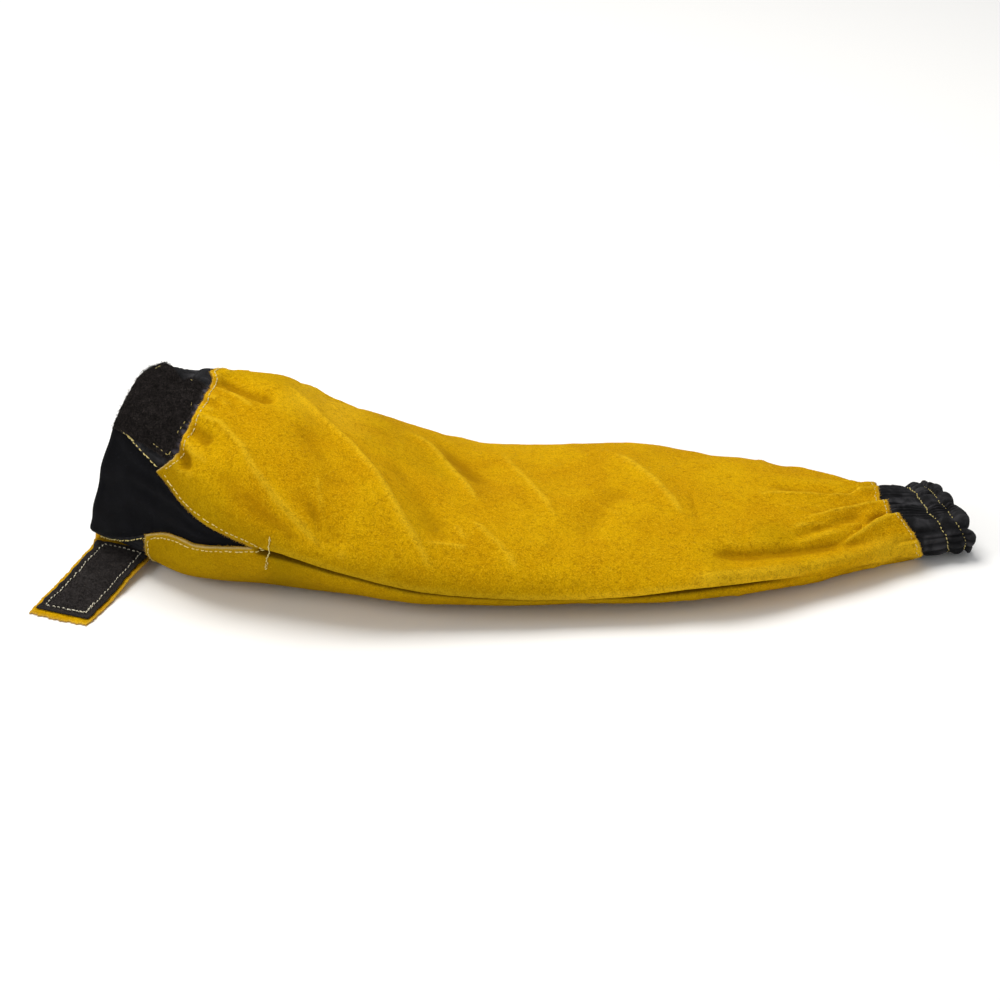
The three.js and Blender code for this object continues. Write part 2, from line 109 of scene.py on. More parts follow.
def curve(table, place, column=1):  # a smooth curve through a table's column
    keys, values = table[:, 0], table[:, column]
    last = len(keys) - 1
    i = np.searchsorted(keys[1:last], np.asarray(place, float))
    before, after = np.maximum(np.arange(last + 1) - 1, 0), np.minimum(np.arange(last + 1) + 1, last)
    slope = (values[after] - values[before]) / (keys[after] - keys[before])
    gap = keys[i + 1] - keys[i]
    u = np.clip((place - keys[i]) / gap, 0, 1)
    bend = slope[i] * (u**3 - 2 * u**2 + u) + slope[i + 1] * (u**3 - u**2)
    return values[i] * (1 - smooth(u)) + values[i + 1] * smooth(u) + gap * bend


def section(name, at):
    return curve(sections, at, sectionKeys.index(name))


def liftAt(at):
    return np.maximum(0, section("lift", at)) * form["wristLift"]


axisSteps = 240
headings = np.radians(section("turn", (np.arange(axisSteps) + 0.5) / axisSteps))
stepLength = form["length"] / axisSteps
axisX, axisY = (np.concatenate([[0], np.cumsum(stepLength * part(headings))]) for part in (np.cos, np.sin))


def axisAt(at):
    at = np.asarray(at, float)
    i = np.floor(np.clip(at * axisSteps, 0, axisSteps - 1e-6)).astype(int)
    along = at * axisSteps - i
    x = axisX[i] + (axisX[i + 1] - axisX[i]) * along
    y = axisY[i] + (axisY[i + 1] - axisY[i]) * along
    return x, y, np.radians(section("turn", at))


def smoothForm(ats, rounds):  # the surface without folds, a row of points for each at
    angle = np.linspace(0, 2 * math.pi, form["sectionPoints"])
    power = np.where(np.sin(angle) < 0, form["basePower"], form["crestPower"])
    across, rise = (np.sign(part) * np.abs(part) ** power for part in (np.cos(angle), np.sin(angle)))
    width = section("width", ats) * form["lyingWidth"]
    height = section("height", ats) * form["standHeight"] + form["floorPress"]
    x, y, heading = axisAt(ats)
    rake, lift = section("rake", ats), liftAt(ats)
    points, girths = np.zeros((len(ats), len(rounds), 3)), np.zeros(len(ats))
    for n in range(len(ats)):
        side = width[n] / 2 * across
        up = np.maximum(0, height[n] / 2 * (1 + rise) - form["floorPress"])
        lengths = np.concatenate([[0], np.cumsum(np.hypot(np.diff(side), np.diff(up)))])
        girths[n] = lengths[-1]
        wanted = turnOf(rounds) * lengths[-1]
        side, up = np.interp(wanted, lengths, side), np.interp(wanted, lengths, up)
        back = rake[n] * up
        points[n, :, 0] = x[n] + back * math.cos(heading[n]) - side * math.sin(heading[n])
        points[n, :, 1] = y[n] + back * math.sin(heading[n]) + side * math.cos(heading[n])
        points[n, :, 2] = up + lift[n]
    return points, girths


# The form as a table, with its outward directions, that everything else is looked up in.
alongSteps, roundSteps, probe = 600, 720, 0.006
tableAts, tableRounds = np.linspace(0, 1, alongSteps + 1), np.linspace(0, 1, roundSteps + 1)
tablePoints, tableGirths = smoothForm(tableAts, tableRounds)
ahead, behind = (smoothForm(np.clip(tableAts + step, 0, 1), tableRounds)[0] for step in (probe, -probe))
onward, backward = (smoothForm(tableAts, tableRounds + step)[0] for step in (probe, -probe))
tableOut = unit(np.cross(onward - backward, ahead - behind))
print("sleeve form laid out")


def girthAt(at):
    return np.interp(at, tableAts, tableGirths)


def cellOf(share, steps):
    i = np.clip(np.floor(share * steps).astype(int), 0, steps - 1)
    return i, (share * steps - i)[..., None]


def lookUp(table, at, place):
    (i, over), (j, past) = cellOf(np.asarray(at), alongSteps), cellOf(turnOf(place), roundSteps)
    low = table[i, j] * (1 - past) + table[i, j + 1] * past
    high = table[i + 1, j] * (1 - past) + table[i + 1, j + 1] * past
    return low * (1 - over) + high * over


def outwardAt(at, place):
    return unit(lookUp(tableOut, at, place))


# The strap's plate in the part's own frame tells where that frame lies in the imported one.
strap = {
    "width": 46.0, "length": 116.0, "wall": 1.6, "rootRound": 0.72, "turn": 2.5, "clearance": 0.4,
    "fall": np.array([(0, 0), (0.15, 0.1), (0.45, 0.5), (0.7, 0.92), (0.85, 1), (1, 1)]),
    "curl": 0.7, "ragged": 0.45, "rows": 150, "columns": 60,
}
bandMiddle = form["bandWidth"] / 2 / form["length"]
rootPoint = smoothForm(np.array([bandMiddle]), np.array([strap["rootRound"]]))[0][0, 0]
rootHeading = float(axisAt(bandMiddle)[2])
rootBack = section("rake", bandMiddle) * (rootPoint[2] - liftAt(bandMiddle))


def flatWay(heading):
    return np.array([math.cos(heading), math.sin(heading), 0])


strapRoot = rootPoint * (1, 1, 0) - rootBack * flatWay(rootHeading)
strapAlong = flatWay(rootHeading - math.pi / 2 - math.radians(strap["turn"]))
strapAcross = np.array([-strapAlong[1], strapAlong[0], 0])
lowestLift = min(liftAt(0), liftAt(leatherStart))
underBand = lowestLift - seat - strap["clearance"] - strap["wall"]


def onStrap(along, across, height):
    drop = curve(strap["fall"], along / strap["length"])
    point = strapRoot + along[..., None] * strapAlong + across[..., None] * strapAcross
    point[..., 2] = (1 - drop) * underBand + height
    return point


strapEnds, strapSides = np.array([0, 0, 1, 1]), np.array([-0.5, 0.5, -0.5, 0.5])
corners = onStrap(strapEnds * strap["length"], strapSides * strap["width"], np.zeros(4))
frameShift = np.array(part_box("strap")[0]) * 1000 - corners.min(0)
frameShift[2] = 0
print("frame shift in mm", frameShift.round(2))


# Smooth noise on a lattice, seeded, for anything from wavy hems to the nap's rubbed patches.
latticeCells = 24


def cloud(points, size, seed):
    lattice = np.random.default_rng(seed).random((latticeCells,) * 3) * 2 - 1
    p = np.asarray(points) / size
    cell = np.floor(p).astype(int)
    f = smooth(p - cell)
    total = 0
    for corner in range(8):
        offset = np.array([corner & 1, corner >> 1 & 1, corner >> 2 & 1])
        weight = np.prod(np.where(offset == 1, f, 1 - f), axis=-1)
        n = (cell + offset) % latticeCells
        total = total + weight * lattice[n[..., 0], n[..., 1], n[..., 2]]
    return total


def clouds(points, layers):  # each layer is a rise, a size and a seed
    return sum(rise * cloud(points, size, seed) for rise, size, seed in layers)


def ripple(place, counts, seed):  # noise along a closed line, from a few waves
    rng = np.random.default_rng(seed)
    return sum(np.cos(2 * math.pi * (n * place + rng.random())) for n in counts) / math.sqrt(len(counts))


def wavyLine(place, table, waves):  # a closed line through a table; each wave is a rise, counts and a seed
    turn = turnOf(place)
    line = np.interp(turn, table[:, 0], table[:, 1])
    return line + sum(rise * ripple(turn, counts, seed) for rise, counts, seed in waves)


def roundGap(a, b):
    return a - b - np.round(a - b)


def spot(at, place, rise, middle, reach):  # a low round rise of the skin
    fromMiddle = (inMm(at - middle[0]) / reach[0]) ** 2 + (roundGap(place, middle[1]) * girthAt(at) / reach[1]) ** 2
    return rise * np.exp(-fromMiddle)


def nearRound(place, middle, half, fade):
    return smooth((half - np.abs(roundGap(place, middle))) / fade)


def seamOf(at):
    return curve(seamLine, at)


def upperEdge(at):
    return seamOf(at) - curve(gussetEdges, np.clip(at / vPoint, 0, 1), 1)


def lowerEdge(at):
    return seamOf(at) + curve(gussetEdges, np.clip(at / vPoint, 0, 1), 2)


def offFloor(place):
    return rising(np.abs(roundGap(place, form["underside"])), form["restingHalf"], form["restingFade"])


def offCloth(at, place):  # folds die out where the leather is sewn to the cloth
    fromSeam = roundGap(place, seamOf(at))
    edge = np.where(fromSeam < 0, seamOf(at) - upperEdge(at), lowerEdge(at) - seamOf(at))
    fromEdge = rising((np.abs(fromSeam) - edge) * girthAt(at), form["tuck"], form["foldStart"])
    fromPoint = rising(inMm(at - vPoint), form["tuck"], form["foldStart"])
    return np.maximum(fromEdge, fromPoint) * rising(inMm(at - leatherStart), 0, form["foldStart"])


# Folds as lines over the leather: kind, rise and width in mm, and the path as places (at, round).
folds = [
    # over the point of the V
    ("crease", 5.0, 6.4, (0.094, 0.333), (0.135, 0.338), (0.167, 0.367), (0.188, 0.400), (0.217, 0.433),
        (0.250, 0.463), (0.268, 0.480)),
    ("soft", -1.6, 9.0, (0.228, 0.400), (0.262, 0.440), (0.292, 0.470)),
    ("soft", -3.0, 10, (0.140, 0.398), (0.172, 0.435), (0.205, 0.463), (0.240, 0.488)),
    ("soft", 2.0, 7, (0.270, 0.478), (0.300, 0.486), (0.340, 0.492)),
    ("crease", 2.0, 4, (0.368, 0.441), (0.392, 0.438), (0.418, 0.440)),
    # long ridge from the crest down the side, hollows beside it
    ("crease", 5.2, 7.2, (0.196, 0.186), (0.212, 0.206), (0.238, 0.233), (0.266, 0.266), (0.290, 0.298),
        (0.318, 0.345), (0.347, 0.412), (0.367, 0.452), (0.374, 0.470)),
    ("soft", -2.4, 12, (0.222, 0.285), (0.255, 0.335), (0.290, 0.395)),
    ("soft", -2.8, 11, (0.335, 0.270), (0.365, 0.340), (0.392, 0.420)),
    # ridge where the forearm starts to lie flat
    ("crease", 4.6, 7.2, (0.358, 0.150), (0.390, 0.196), (0.405, 0.237), (0.422, 0.288), (0.432, 0.328)),
    ("soft", -2.4, 10, (0.385, 0.110), (0.420, 0.190), (0.452, 0.265)),
    ("crease", 2.2, 8, (0.420, 0.380), (0.452, 0.430), (0.470, 0.470)),
    # valley under the crest, puckers behind the band
    ("soft", -6.6, 9, (0.094, 0.228), (0.142, 0.240), (0.188, 0.256)),
    ("crease", 2.4, 7, (0.100, 0.262), (0.135, 0.272), (0.165, 0.292)),
    ("soft", -2.6, 5.5, (0.098, 0.360), (0.132, 0.374)),
    ("crease", 1.8, 5, (0.104, 0.392), (0.136, 0.402)),
    ("soft", -5.6, 4.4, (0.090, 0.396), (0.107, 0.408), (0.112, 0.426)),
    ("crease", 1.6, 4.5, (0.092, 0.290), (0.118, 0.296)),
    # middle stretch
    ("crease", 2.6, 12, (0.47, 0.12), (0.495, 0.24), (0.52, 0.36)),
    ("soft", -2.8, 12, (0.54, 0.42), (0.575, 0.33), (0.61, 0.25)),
    ("crease", 3.6, 11, (0.60, 0.12), (0.64, 0.23), (0.67, 0.34)),
    # roll above the seam at the cuff end
    ("soft", 5.6, 6.0, (0.655, 0.470), (0.700, 0.478), (0.800, 0.484), (0.870, 0.474), (0.925, 0.462)),
    ("soft", -5.4, 6.4, (0.690, 0.430), (0.780, 0.440), (0.862, 0.440)),
    # runs up from the cuff
    ("soft", -3.4, 5, (0.900, 0.330), (0.845, 0.372), (0.790, 0.410)),
    ("crease", 3.0, 6, (0.890, 0.245), (0.830, 0.255), (0.760, 0.262)),
    ("soft", -3.2, 5.5, (0.900, 0.215), (0.840, 0.205), (0.780, 0.215)),
    ("soft", -2.8, 5, (0.850, 0.448), (0.885, 0.448), (0.908, 0.440)),
    ("soft", -2.2, 5, (0.840, 0.530), (0.880, 0.545), (0.930, 0.570)),
    # far side
    ("soft", -4.6, 10, (0.17, 0.05), (0.235, 0.0), (0.30, -0.04)),
    ("crease", 4.0, 9, (0.20, 0.12), (0.27, 0.06), (0.33, 0.01)),
    ("crease", 4.0, 9.5, (0.40, 0.04), (0.46, 0.0), (0.52, -0.03)),
    ("soft", -4.0, 9.5, (0.62, -0.02), (0.68, 0.02), (0.74, 0.06)),
    ("crease", 3.0, 6, (0.80, 0.04), (0.86, 0.05), (0.92, 0.07)),
]
foldShape = {"fade": 0.3, "startLeft": 0.2, "endLeft": 0.35, "tip": 1.1, "slope": 0.5}
# Steps between the lobes that the cuff gathers in the leather, from the leather's edge up. Each lobe stands
# proud of the one above. Each is a rise, a width and a path.
lobes = [
    (3.2, 9, (0.955, 0.172), (0.912, 0.175), (0.867, 0.240), (0.820, 0.290)),
    (6.0, 11, (0.950, 0.292), (0.908, 0.292), (0.829, 0.338), (0.783, 0.367)),
    (6.4, 10, (0.950, 0.374), (0.908, 0.371), (0.867, 0.417), (0.829, 0.462)),
    (2.4, 8, (0.950, 0.462), (0.915, 0.468), (0.880, 0.490)),
    (2.8, 8, (0.950, 0.600), (0.905, 0.592), (0.850, 0.575)),
    (3.2, 9, (0.950, 0.090), (0.900, 0.105), (0.840, 0.140)),
    (3.6, 9, (0.950, 0.005), (0.890, 0.015), (0.820, 0.030)),
    (2.8, 8, (0.950, 0.925), (0.880, 0.920), (0.810, 0.900)),
]
lobeShape = {"step": 1.1, "sunk": 0.5, "sunkReach": 0.8, "fade": 0.75, "flattened": 0.75, "flatFrom": (-6, 18)}
wrinkles = {
    "count": 84, "seed": 11, "length": (14, 46), "rise": (0.35, 1.1), "width": (2.2, 4.6),
    "byCuff": 0.42, "cuffAts": (0.78, 0.92), "otherAts": (0.1, 0.78), "cuffAngle": (0.1, 0.3),
    "otherAngle": (1.0, 0.45),
}


def wrinkleTable():  # short shallow creases, lengthwise by the cuff and slanting on the forearm
    rng = np.random.default_rng(wrinkles["seed"])
    rows = []
    for _ in range(wrinkles["count"]):
        byCuff = rng.random() < wrinkles["byCuff"]
        at = rng.uniform(*wrinkles["cuffAts"]) if byCuff else rng.uniform(*wrinkles["otherAts"]) ** 1.15
        place = rng.random()
        angle = rng.normal(*wrinkles["cuffAngle" if byCuff else "otherAngle"])
        length = rng.uniform(*wrinkles["length"])
        along, across = length * math.cos(angle) / form["length"], length * math.sin(angle) / float(girthAt(at))
        rise = rng.uniform(*wrinkles["rise"]) * (1 if rng.random() < 0.6 else -1)
        rows.append(("crease", rise, rng.uniform(*wrinkles["width"]), (at, place), (at + along, place + across)))
    return rows


# Short puckers that start at the stitch rows of both ends, further in beside the loop patch.
puckers = {
    "seed": 12, "rows": ((0.092, 40, 1), (0.918, 34, -1)), "length": (9, 24),
    "rise": (0.7, 1.9), "width": (2.6, 4.6), "patchRounds": (0.24, 0.42), "patchStep": 0.008,
}


def puckerTable():
    rng = np.random.default_rng(puckers["seed"])
    rows = []
    for edge, count, way in puckers["rows"]:
        for n in range(count):
            place = (n + rng.uniform(-0.3, 0.3)) / count
            length, rise, width = (rng.uniform(*puckers[key]) for key in ("length", "rise", "width"))
            byPatch = way > 0 and puckers["patchRounds"][0] < place < puckers["patchRounds"][1]
            start = edge + (puckers["patchStep"] if byPatch else 0)
            end = (start + way * length / form["length"], place + rng.normal(0.01, 0.008))
            rows.append(("soft", rise * (1 if n % 2 else -0.8), width, (start, place), end))
    return rows


allFolds = folds + wrinkleTable() + puckerTable()


def nearPath(path, at, place, girth):  # distance to a path in mm, which side, and the share along it
    nearest, side, share = np.full(at.shape, 1e9), np.zeros(at.shape), np.zeros(at.shape)
    legs = list(zip(path, path[1:]))
    middle = float(girthAt(sum(a for a, _ in path) / len(path)))
    lengths = [math.hypot(inMm(b[0] - a[0]), (b[1] - a[1]) * middle) for a, b in legs]
    done = 0
    for (start, end), length in zip(legs, lengths):
        dx, dy = inMm(end[0] - start[0]), (end[1] - start[1]) * girth
        px, py = inMm(at - start[0]), roundGap(place, start[1]) * girth
        t = np.clip((px * dx + py * dy) / (dx * dx + dy * dy), 0, 1)
        distance = np.hypot(px - t * dx, py - t * dy)
        closer = distance < nearest
        nearest = np.where(closer, distance, nearest)
        side = np.where(closer, np.sign((dx * py - dy * px) * np.sign(dx)), side)
        share = np.where(closer, (done + t * length) / sum(lengths), share)
        done += length
    return nearest, side, share


def foldHeight(at, place):
    girth, total = girthAt(at), np.zeros(at.shape)
    tip = foldShape["tip"]
    for kind, rise, width, *path in allFolds:
        distance, _, share = nearPath(path, at, place, girth)
        begun = smooth(share / foldShape["fade"] + foldShape["startLeft"])
        ending = smooth((1 - share) / foldShape["fade"] + foldShape["endLeft"])
        if kind == "soft":
            shape = bell(distance / width)
        else:
            shape = np.exp(-(np.sqrt(distance**2 + tip**2) - tip) / (foldShape["slope"] * width))
        total += rise * (begun * ending) * shape
    return total


def lobeHeight(at, place):
    girth, total = girthAt(at), np.zeros(at.shape)
    for rise, width, *path in lobes:
        distance, side, share = nearPath(path, at, place, girth)
        signed = distance * side
        step = rising(signed, -lobeShape["step"], 2 * lobeShape["step"])
        proud = step * np.exp(-np.maximum(signed, 0) / width)
        sunk = lobeShape["sunk"] * (1 - step) * np.exp(-np.maximum(-signed, 0) / (lobeShape["sunkReach"] * width))
        total += rise * (proud - sunk) * smooth((1 - share) / lobeShape["fade"])
    return total * (1 - lobeShape["flattened"] * rising(inMm(at - leatherEnd), *lobeShape["flatFrom"]))


seam = {
    "roll": 2.2, "rollAway": 6.0, "groove": 6.2, "grooveWidth": 1.7, "under": 5.0, "underReach": 6.5,
    "corner": 1.2, "cornerWidth": 2.2, "start": 24.0, "closes": 0.755, "closing": 0.06, "closed": 0.92,
}


def seamHeight(at, place, side):  # the leather above the seam rolls over the leather below it
    away = np.abs(roundGap(place, seamOf(at))) * girthAt(at)
    begun = rising(inMm(at - vPoint), 0, seam["start"])
    left = 1 - seam["closed"] * rising(at, seam["closes"], seam["closing"])
    roll = seam["roll"] * bell((away - seam["rollAway"]) / seam["rollAway"])
    above = roll - seam["groove"] * bell(away / seam["grooveWidth"])
    below = -seam["under"] * np.exp(-away / seam["underReach"]) - seam["corner"] * bell(away / seam["cornerWidth"])
    return begun * left * np.where(side < 0, above, below)


# How far the crest has sunk and the lower near side has drawn in, both in mm against at.
crestDrop = np.array([
    (0.0, 0.0), (0.10, 1.0), (0.17, 0.0), (0.212, 4.4), (0.246, 8.4), (0.275, 8.2), (0.321, 6.2), (0.345, 5.0),
    (0.371, 4.6), (0.396, 6.2), (0.421, 9.8), (0.446, 10.6), (0.50, 8.8), (0.60, 4.2), (0.72, 1.0),
    (0.80, -0.6), (1.0, 0.0),
])
sideDrop = np.array([
    (0.0, -2.6), (0.03, -3.6), (0.07, -5.5), (0.113, -5.0), (0.145, -1.5), (0.17, 0.6),
    (0.208, 4.2), (0.25, 5.4), (0.29, 4.6), (0.33, 1.8), (0.37, 0.0), (1.0, 0.0),
])
sideRound = np.array([(0.0, 0.645), (0.10, 0.622), (0.17, 0.60), (0.25, 0.568), (0.40, 0.56), (1.0, 0.56)])
sag = {
    "crestRound": 0.14, "crestReach": 0.25, "crestHold": 1.15, "sideReach": 0.05,
    "dip": (6.5, (0.051, 0.23), (7, 20)),
}
lumps = ((0.9, 46, 3), (0.42, 19, 4), (0.2, 8.5, 5))


def sunk(at, place):
    onCrest = smooth(sag["crestHold"] - np.abs(roundGap(place, sag["crestRound"])) / sag["crestReach"])
    onSide = bell(roundGap(place, curve(sideRound, at)) / sag["sideReach"])
    return curve(crestDrop, at) * onCrest + curve(sideDrop, at) * onSide + spot(at, place, *sag["dip"])


def relief(at, place, side=None):
    side = np.sign(roundGap(place, seamOf(at))) if side is None else side
    soft = (foldHeight(at, place) + clouds(lookUp(tablePoints, at, place), lumps)) * offCloth(at, place)
    return (soft + seamHeight(at, place, side) + lobeHeight(at, place)) * offFloor(place) - sunk(at, place)


def onSkin(at, place, lift, side=None, height=None):
    height = relief(at, place, side) if height is None else height
    return lookUp(tablePoints, at, place) + outwardAt(at, place) * (height + lift)[..., None]


# Where the leather ends, at against round, from the corner by the V over the crest, and how the mouth draws in.
wristEdge = np.array([
    (0.0, 0.0800), (0.217, 0.0835), (0.222, 0.0880), (0.240, 0.0955), (0.270, 0.1010), (0.325, 0.1025),
    (0.375, 0.0985), (0.417, 0.0940), (0.436, 0.0835), (0.448, 0.0775), (0.575, 0.0755), (0.640, 0.0790),
    (1.0, 0.0800),
])
cuffEdge = np.array([
    (0.0, 0.930), (0.125, 0.9290), (0.284, 0.9175), (0.292, 0.9220), (0.366, 0.9195), (0.374, 0.9225),
    (0.410, 0.9305), (0.450, 0.9355), (0.521, 0.9395), (0.600, 0.939), (0.80, 0.935), (1.0, 0.930),
])
edgeWaves = {
    "mouth": (0.0006, (5, 8, 13), 20),
    "wrist": ((0.0004, (37, 61, 90), 21), (0.00035, (140, 200, 260), 22)),
    "cuff": ((0.0005, (19, 33, 52), 23), (0.00045, (90, 130, 190), 24)),
}
mouth = {"drawn": 0.0065, "rounds": (0.14, 0.1, 0.63, 0.08)}


def mouthAt(place):
    rise, counts, seed = edgeWaves["mouth"]
    return -mouth["drawn"] * between(turnOf(place), *mouth["rounds"]) + rise * ripple(turnOf(place), counts, seed)


def wristEdgeAt(place):
    return wavyLine(place, wristEdge, edgeWaves["wrist"])


def cuffEdgeAt(place):
    return wavyLine(place, cuffEdge, edgeWaves["cuff"])


# Meshes from grids of points. Two grids back to back make a closed sheet, zipped along their borders.
aboveFloor = 0.05


def gridFaces(n):
    return np.stack([n[:-1, :-1], n[:-1, 1:], n[1:, 1:], n[1:, :-1]], -1).reshape(-1, 4)


def zipped(a, b):  # triangles between two lines of vertices of any lengths
    i, j, faces = 0, 0, []
    while i < len(a) - 1 or j < len(b) - 1:
        if j == len(b) - 1 or (i < len(a) - 1 and (i + 1) / (len(a) - 1) <= (j + 1) / (len(b) - 1)):
            faces.append((a[i], a[i + 1], b[j]))
            i += 1
        else:
            faces.append((a[i], b[j + 1], b[j]))
            j += 1
    return faces


def meshPiece(name, vertices, faces, finish, slot=None, replaced=None, attributes=None, uv=None):
    mesh = bpy.data.meshes.new(name)
    vertices = vertices + frameShift
    vertices[:, 2] = np.maximum(vertices[:, 2], aboveFloor)
    mesh.from_pydata((vertices * 0.001).tolist(), [], [list(map(int, face)) for face in faces])
    for key, values in (attributes or {}).items():
        full = np.broadcast_to(np.float32(values), len(vertices))
        mesh.attributes.new(key, "FLOAT", "POINT").data.foreach_set("value", np.ascontiguousarray(full))
    if uv is not None:
        loops = np.zeros(len(mesh.loops), np.int32)
        mesh.loops.foreach_get("vertex_index", loops)
        mesh.uv_layers.new(name="clothMm").data.foreach_set("uv", np.float32(uv)[loops].ravel())
    mesh.update()
    mesh.shade_smooth()
    piece = bpy.data.objects.new(name, mesh)
    bpy.context.scene.collection.objects.link(piece)
    mesh.materials.append(finish)
    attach(piece, "root")
    if replaced:
        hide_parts(replaced)


def sheetPiece(name, outer, inner, finish, attributes, closed=False, uv=None, **options):
    outside, inside = (np.arange(sheet[..., 0].size).reshape(sheet.shape[:2]) for sheet in (outer, inner))
    inside += outside.size
    faces = gridFaces(outside)[:, ::-1].tolist() + gridFaces(inside).tolist()
    faces += zipped(outside[0], inside[0]) + [face[::-1] for face in zipped(outside[-1], inside[-1])]
    if closed:  # the last column is the first one
        same = {last: first for n in (outside, inside) for last, first in zip(n[:, -1].tolist(), n[:, 0].tolist())}
        faces = [[same.get(v, v) for v in face] for face in faces]
    else:
        faces += [face[::-1] for face in zipped(outside[:, 0], inside[:, 0])]
        faces += zipped(outside[:, -1], inside[:, -1])
    full = {key: np.concatenate([values.ravel(), np.zeros(inside.size)]) for key, values in attributes.items()}
    if uv is not None:
        uv = np.concatenate([uv.reshape(-1, 2), inner.reshape(-1, 3)[:, :2]])
    vertices = np.concatenate([outer.reshape(-1, 3), inner.reshape(-1, 3)])
    meshPiece(name, vertices, faces, finish, attributes=full, uv=uv, **options)


# Shader nodes. A value can be used in a plain expression, and node() makes anything that isn't a sum.
class Wire:
    def __init__(self, finish, socket):
        self.finish, self.socket = finish, socket

    def sum(self, operation, a, b):
        return self.finish.node("ShaderNodeMath", {"operation": operation}, {0: a, 1: b})

    def __add__(self, other): return self.sum("ADD", self, other)
    def __radd__(self, other): return self.sum("ADD", other, self)
    def __sub__(self, other): return self.sum("SUBTRACT", self, other)
    def __rsub__(self, other): return self.sum("SUBTRACT", other, self)
    def __mul__(self, other): return self.sum("MULTIPLY", self, other)
    def __rmul__(self, other): return self.sum("MULTIPLY", other, self)


class Finish:
    def __init__(self, name, shader):
        self.material = bpy.data.materials.new(name)
        self.material.use_nodes = True
        self.tree = self.material.node_tree
        self.shader = self.tree.nodes["Principled BSDF"]
        for socket, value in shader.items():
            self.shader.inputs[socket].default_value = value

    def feed(self, socket, value):
        if isinstance(value, Wire):
            self.tree.links.new(value.socket, socket)
        else:
            socket.default_value = value

    def node(self, kind, settings, values, out=0):
        made = self.tree.nodes.new(kind)
        for key, value in settings.items():
            setattr(made, key, value)
        for key, value in values.items():
            self.feed(made.inputs[key], value)
        return Wire(self, made.outputs[out])

    def mix(self, factor, a, b):
        return self.node("ShaderNodeMix", {"data_type": "RGBA"}, {0: factor, 6: a, 7: b}, 2)

    def attribute(self, name):
        return self.node("ShaderNodeAttribute", {"attribute_name": name}, {}, 2)

    def place(self, stretch=(1, 1, 1), turn=(0, 0, 0)):
        where = self.node("ShaderNodeTexCoord", {}, {}, 3)
        return self.node("ShaderNodeMapping", {}, {0: where, 2: turn, 3: stretch})

    def noise(self, vector, size, detail, rough=0.55, warp=0):
        values = {"Vector": vector, "Scale": 1 / size, "Detail": detail, "Roughness": rough, "Distortion": warp}
        return self.node("ShaderNodeTexNoise", {}, values)

    def bands(self, vector, direction, scale, warp, detail=2.0):
        values = {"Vector": vector, "Scale": scale, "Distortion": warp, "Detail": detail}
        return self.node("ShaderNodeTexWave", {"wave_type": "BANDS", "bands_direction": direction}, values, 1)

    def ramp(self, value, low, high):
        return self.node("ShaderNodeMapRange", {"interpolation_type": "SMOOTHSTEP"}, {0: value, 1: low, 2: high})

    def layer(self, color, source, shown, code):  # shown: from where to where in the source, and how much
        low, high, amount = shown
        return self.mix(self.ramp(source, low, high) * amount, color, paint(code))

    def show(self, color, roughness, height, depth, strength):
        bump = self.node("ShaderNodeBump", {}, {"Strength": strength, "Distance": depth, "Height": height})
        for key, value in (("Base Color", color), ("Roughness", roughness), ("Normal", bump)):
            self.feed(self.shader.inputs[key], value)
        return self.material


def paint(code):  # a hex colour as linear values
    values = [int(code[i:i + 2], 16) / 255 for i in (0, 2, 4)]
    return [v / 12.92 if v <= 0.04045 else ((v + 0.055) / 1.055) ** 2.4 for v in values] + [1.0]


# Sizes are in metres. A name with Shown says from where to where its noise shows, and how much.
suedeLook = {
    "shader": {
        "Sheen Weight": 0.04, "Sheen Roughness": 0.5, "Sheen Tint": paint("ffc230"), "Specular IOR Level": 0.02,
    },
    "lit": "d89f02", "rubbed": "e6b205", "deep": "9c6a00", "green": "957b02", "cut": "d2c08c", "dirt": "7a5504",
    "bright": "fbcb24", "crease": "3d2700", "brush": (1, 1.5, 1), "brushTurn": (0, 0, 0.5),
    "cloud": (0.045, 4, 0.6, 0.3), "tuft": (0.0034, 4, 0.6, 0.5), "grain": (0.00105, 3, 0.65, 0.2),
    "fibre": (0.00045, 2, 0.7),
    "cloudShown": (0.32, 0.68), "tuftShown": (0.46, 0.72, 0.5), "grainShown": (0.44, 0.7, 0.5),
    "glintShown": (0.5, 0.64, 0.55), "hollowShown": (0.02, 0.9, 0.6), "fibreShown": (0.45, 0.75, 0.2),
    "ridge": 0.62, "soilAndShade": 0.7, "shade": 0.9, "depth": 0.0017, "bump": 0.9,
}


def suedeFinish():
    look = suedeLook
    f = Finish("suedeNap", look["shader"])
    brushed = f.place(look["brush"], look["brushTurn"])
    tufts, grain, fibres = (f.noise(brushed, *look[name]) for name in ("tuft", "grain", "fibre"))
    hollow, ridge, cut, soilAndShade, shade = (f.attribute(name) for name in ("hollow", "ridge", "cut", "soilAndShade", "shade"))
    clouded = f.ramp(f.noise(f.place(), *look["cloud"]), *look["cloudShown"])
    color = f.mix(clouded, paint(look["lit"]), paint(look["rubbed"]))
    # painted highlight on the ridges, on the crest and at the cuff end
    color = f.mix(ridge * look["ridge"], color, paint(look["bright"]))
    color = f.layer(color, tufts, look["tuftShown"], look["deep"])
    color = f.layer(color, grain, look["grainShown"], look["deep"])
    color = f.layer(color, 0.98 - grain, look["glintShown"], look["bright"])
    # painted shade in the leather's hollows; on the strap, darker towards its root
    color = f.layer(color, hollow, look["hollowShown"], look["deep"])
    # olive: painted shade on the low near side and along the V, with random soiled patches
    color = f.mix(soilAndShade * look["soilAndShade"], color, paint(look["green"]))
    color = f.layer(color, fibres, look["fibreShown"], look["dirt"])
    color = f.mix(shade * look["shade"], color, paint(look["crease"]))
    color = f.mix(cut * (0.5 + 0.4 * grain), color, paint(look["cut"]))
    height = fibres * 0.35 + grain * 0.8 + tufts * 0.8
    return f.show(color, 0.9 + 0.1 * grain, height, look["depth"], look["bump"])


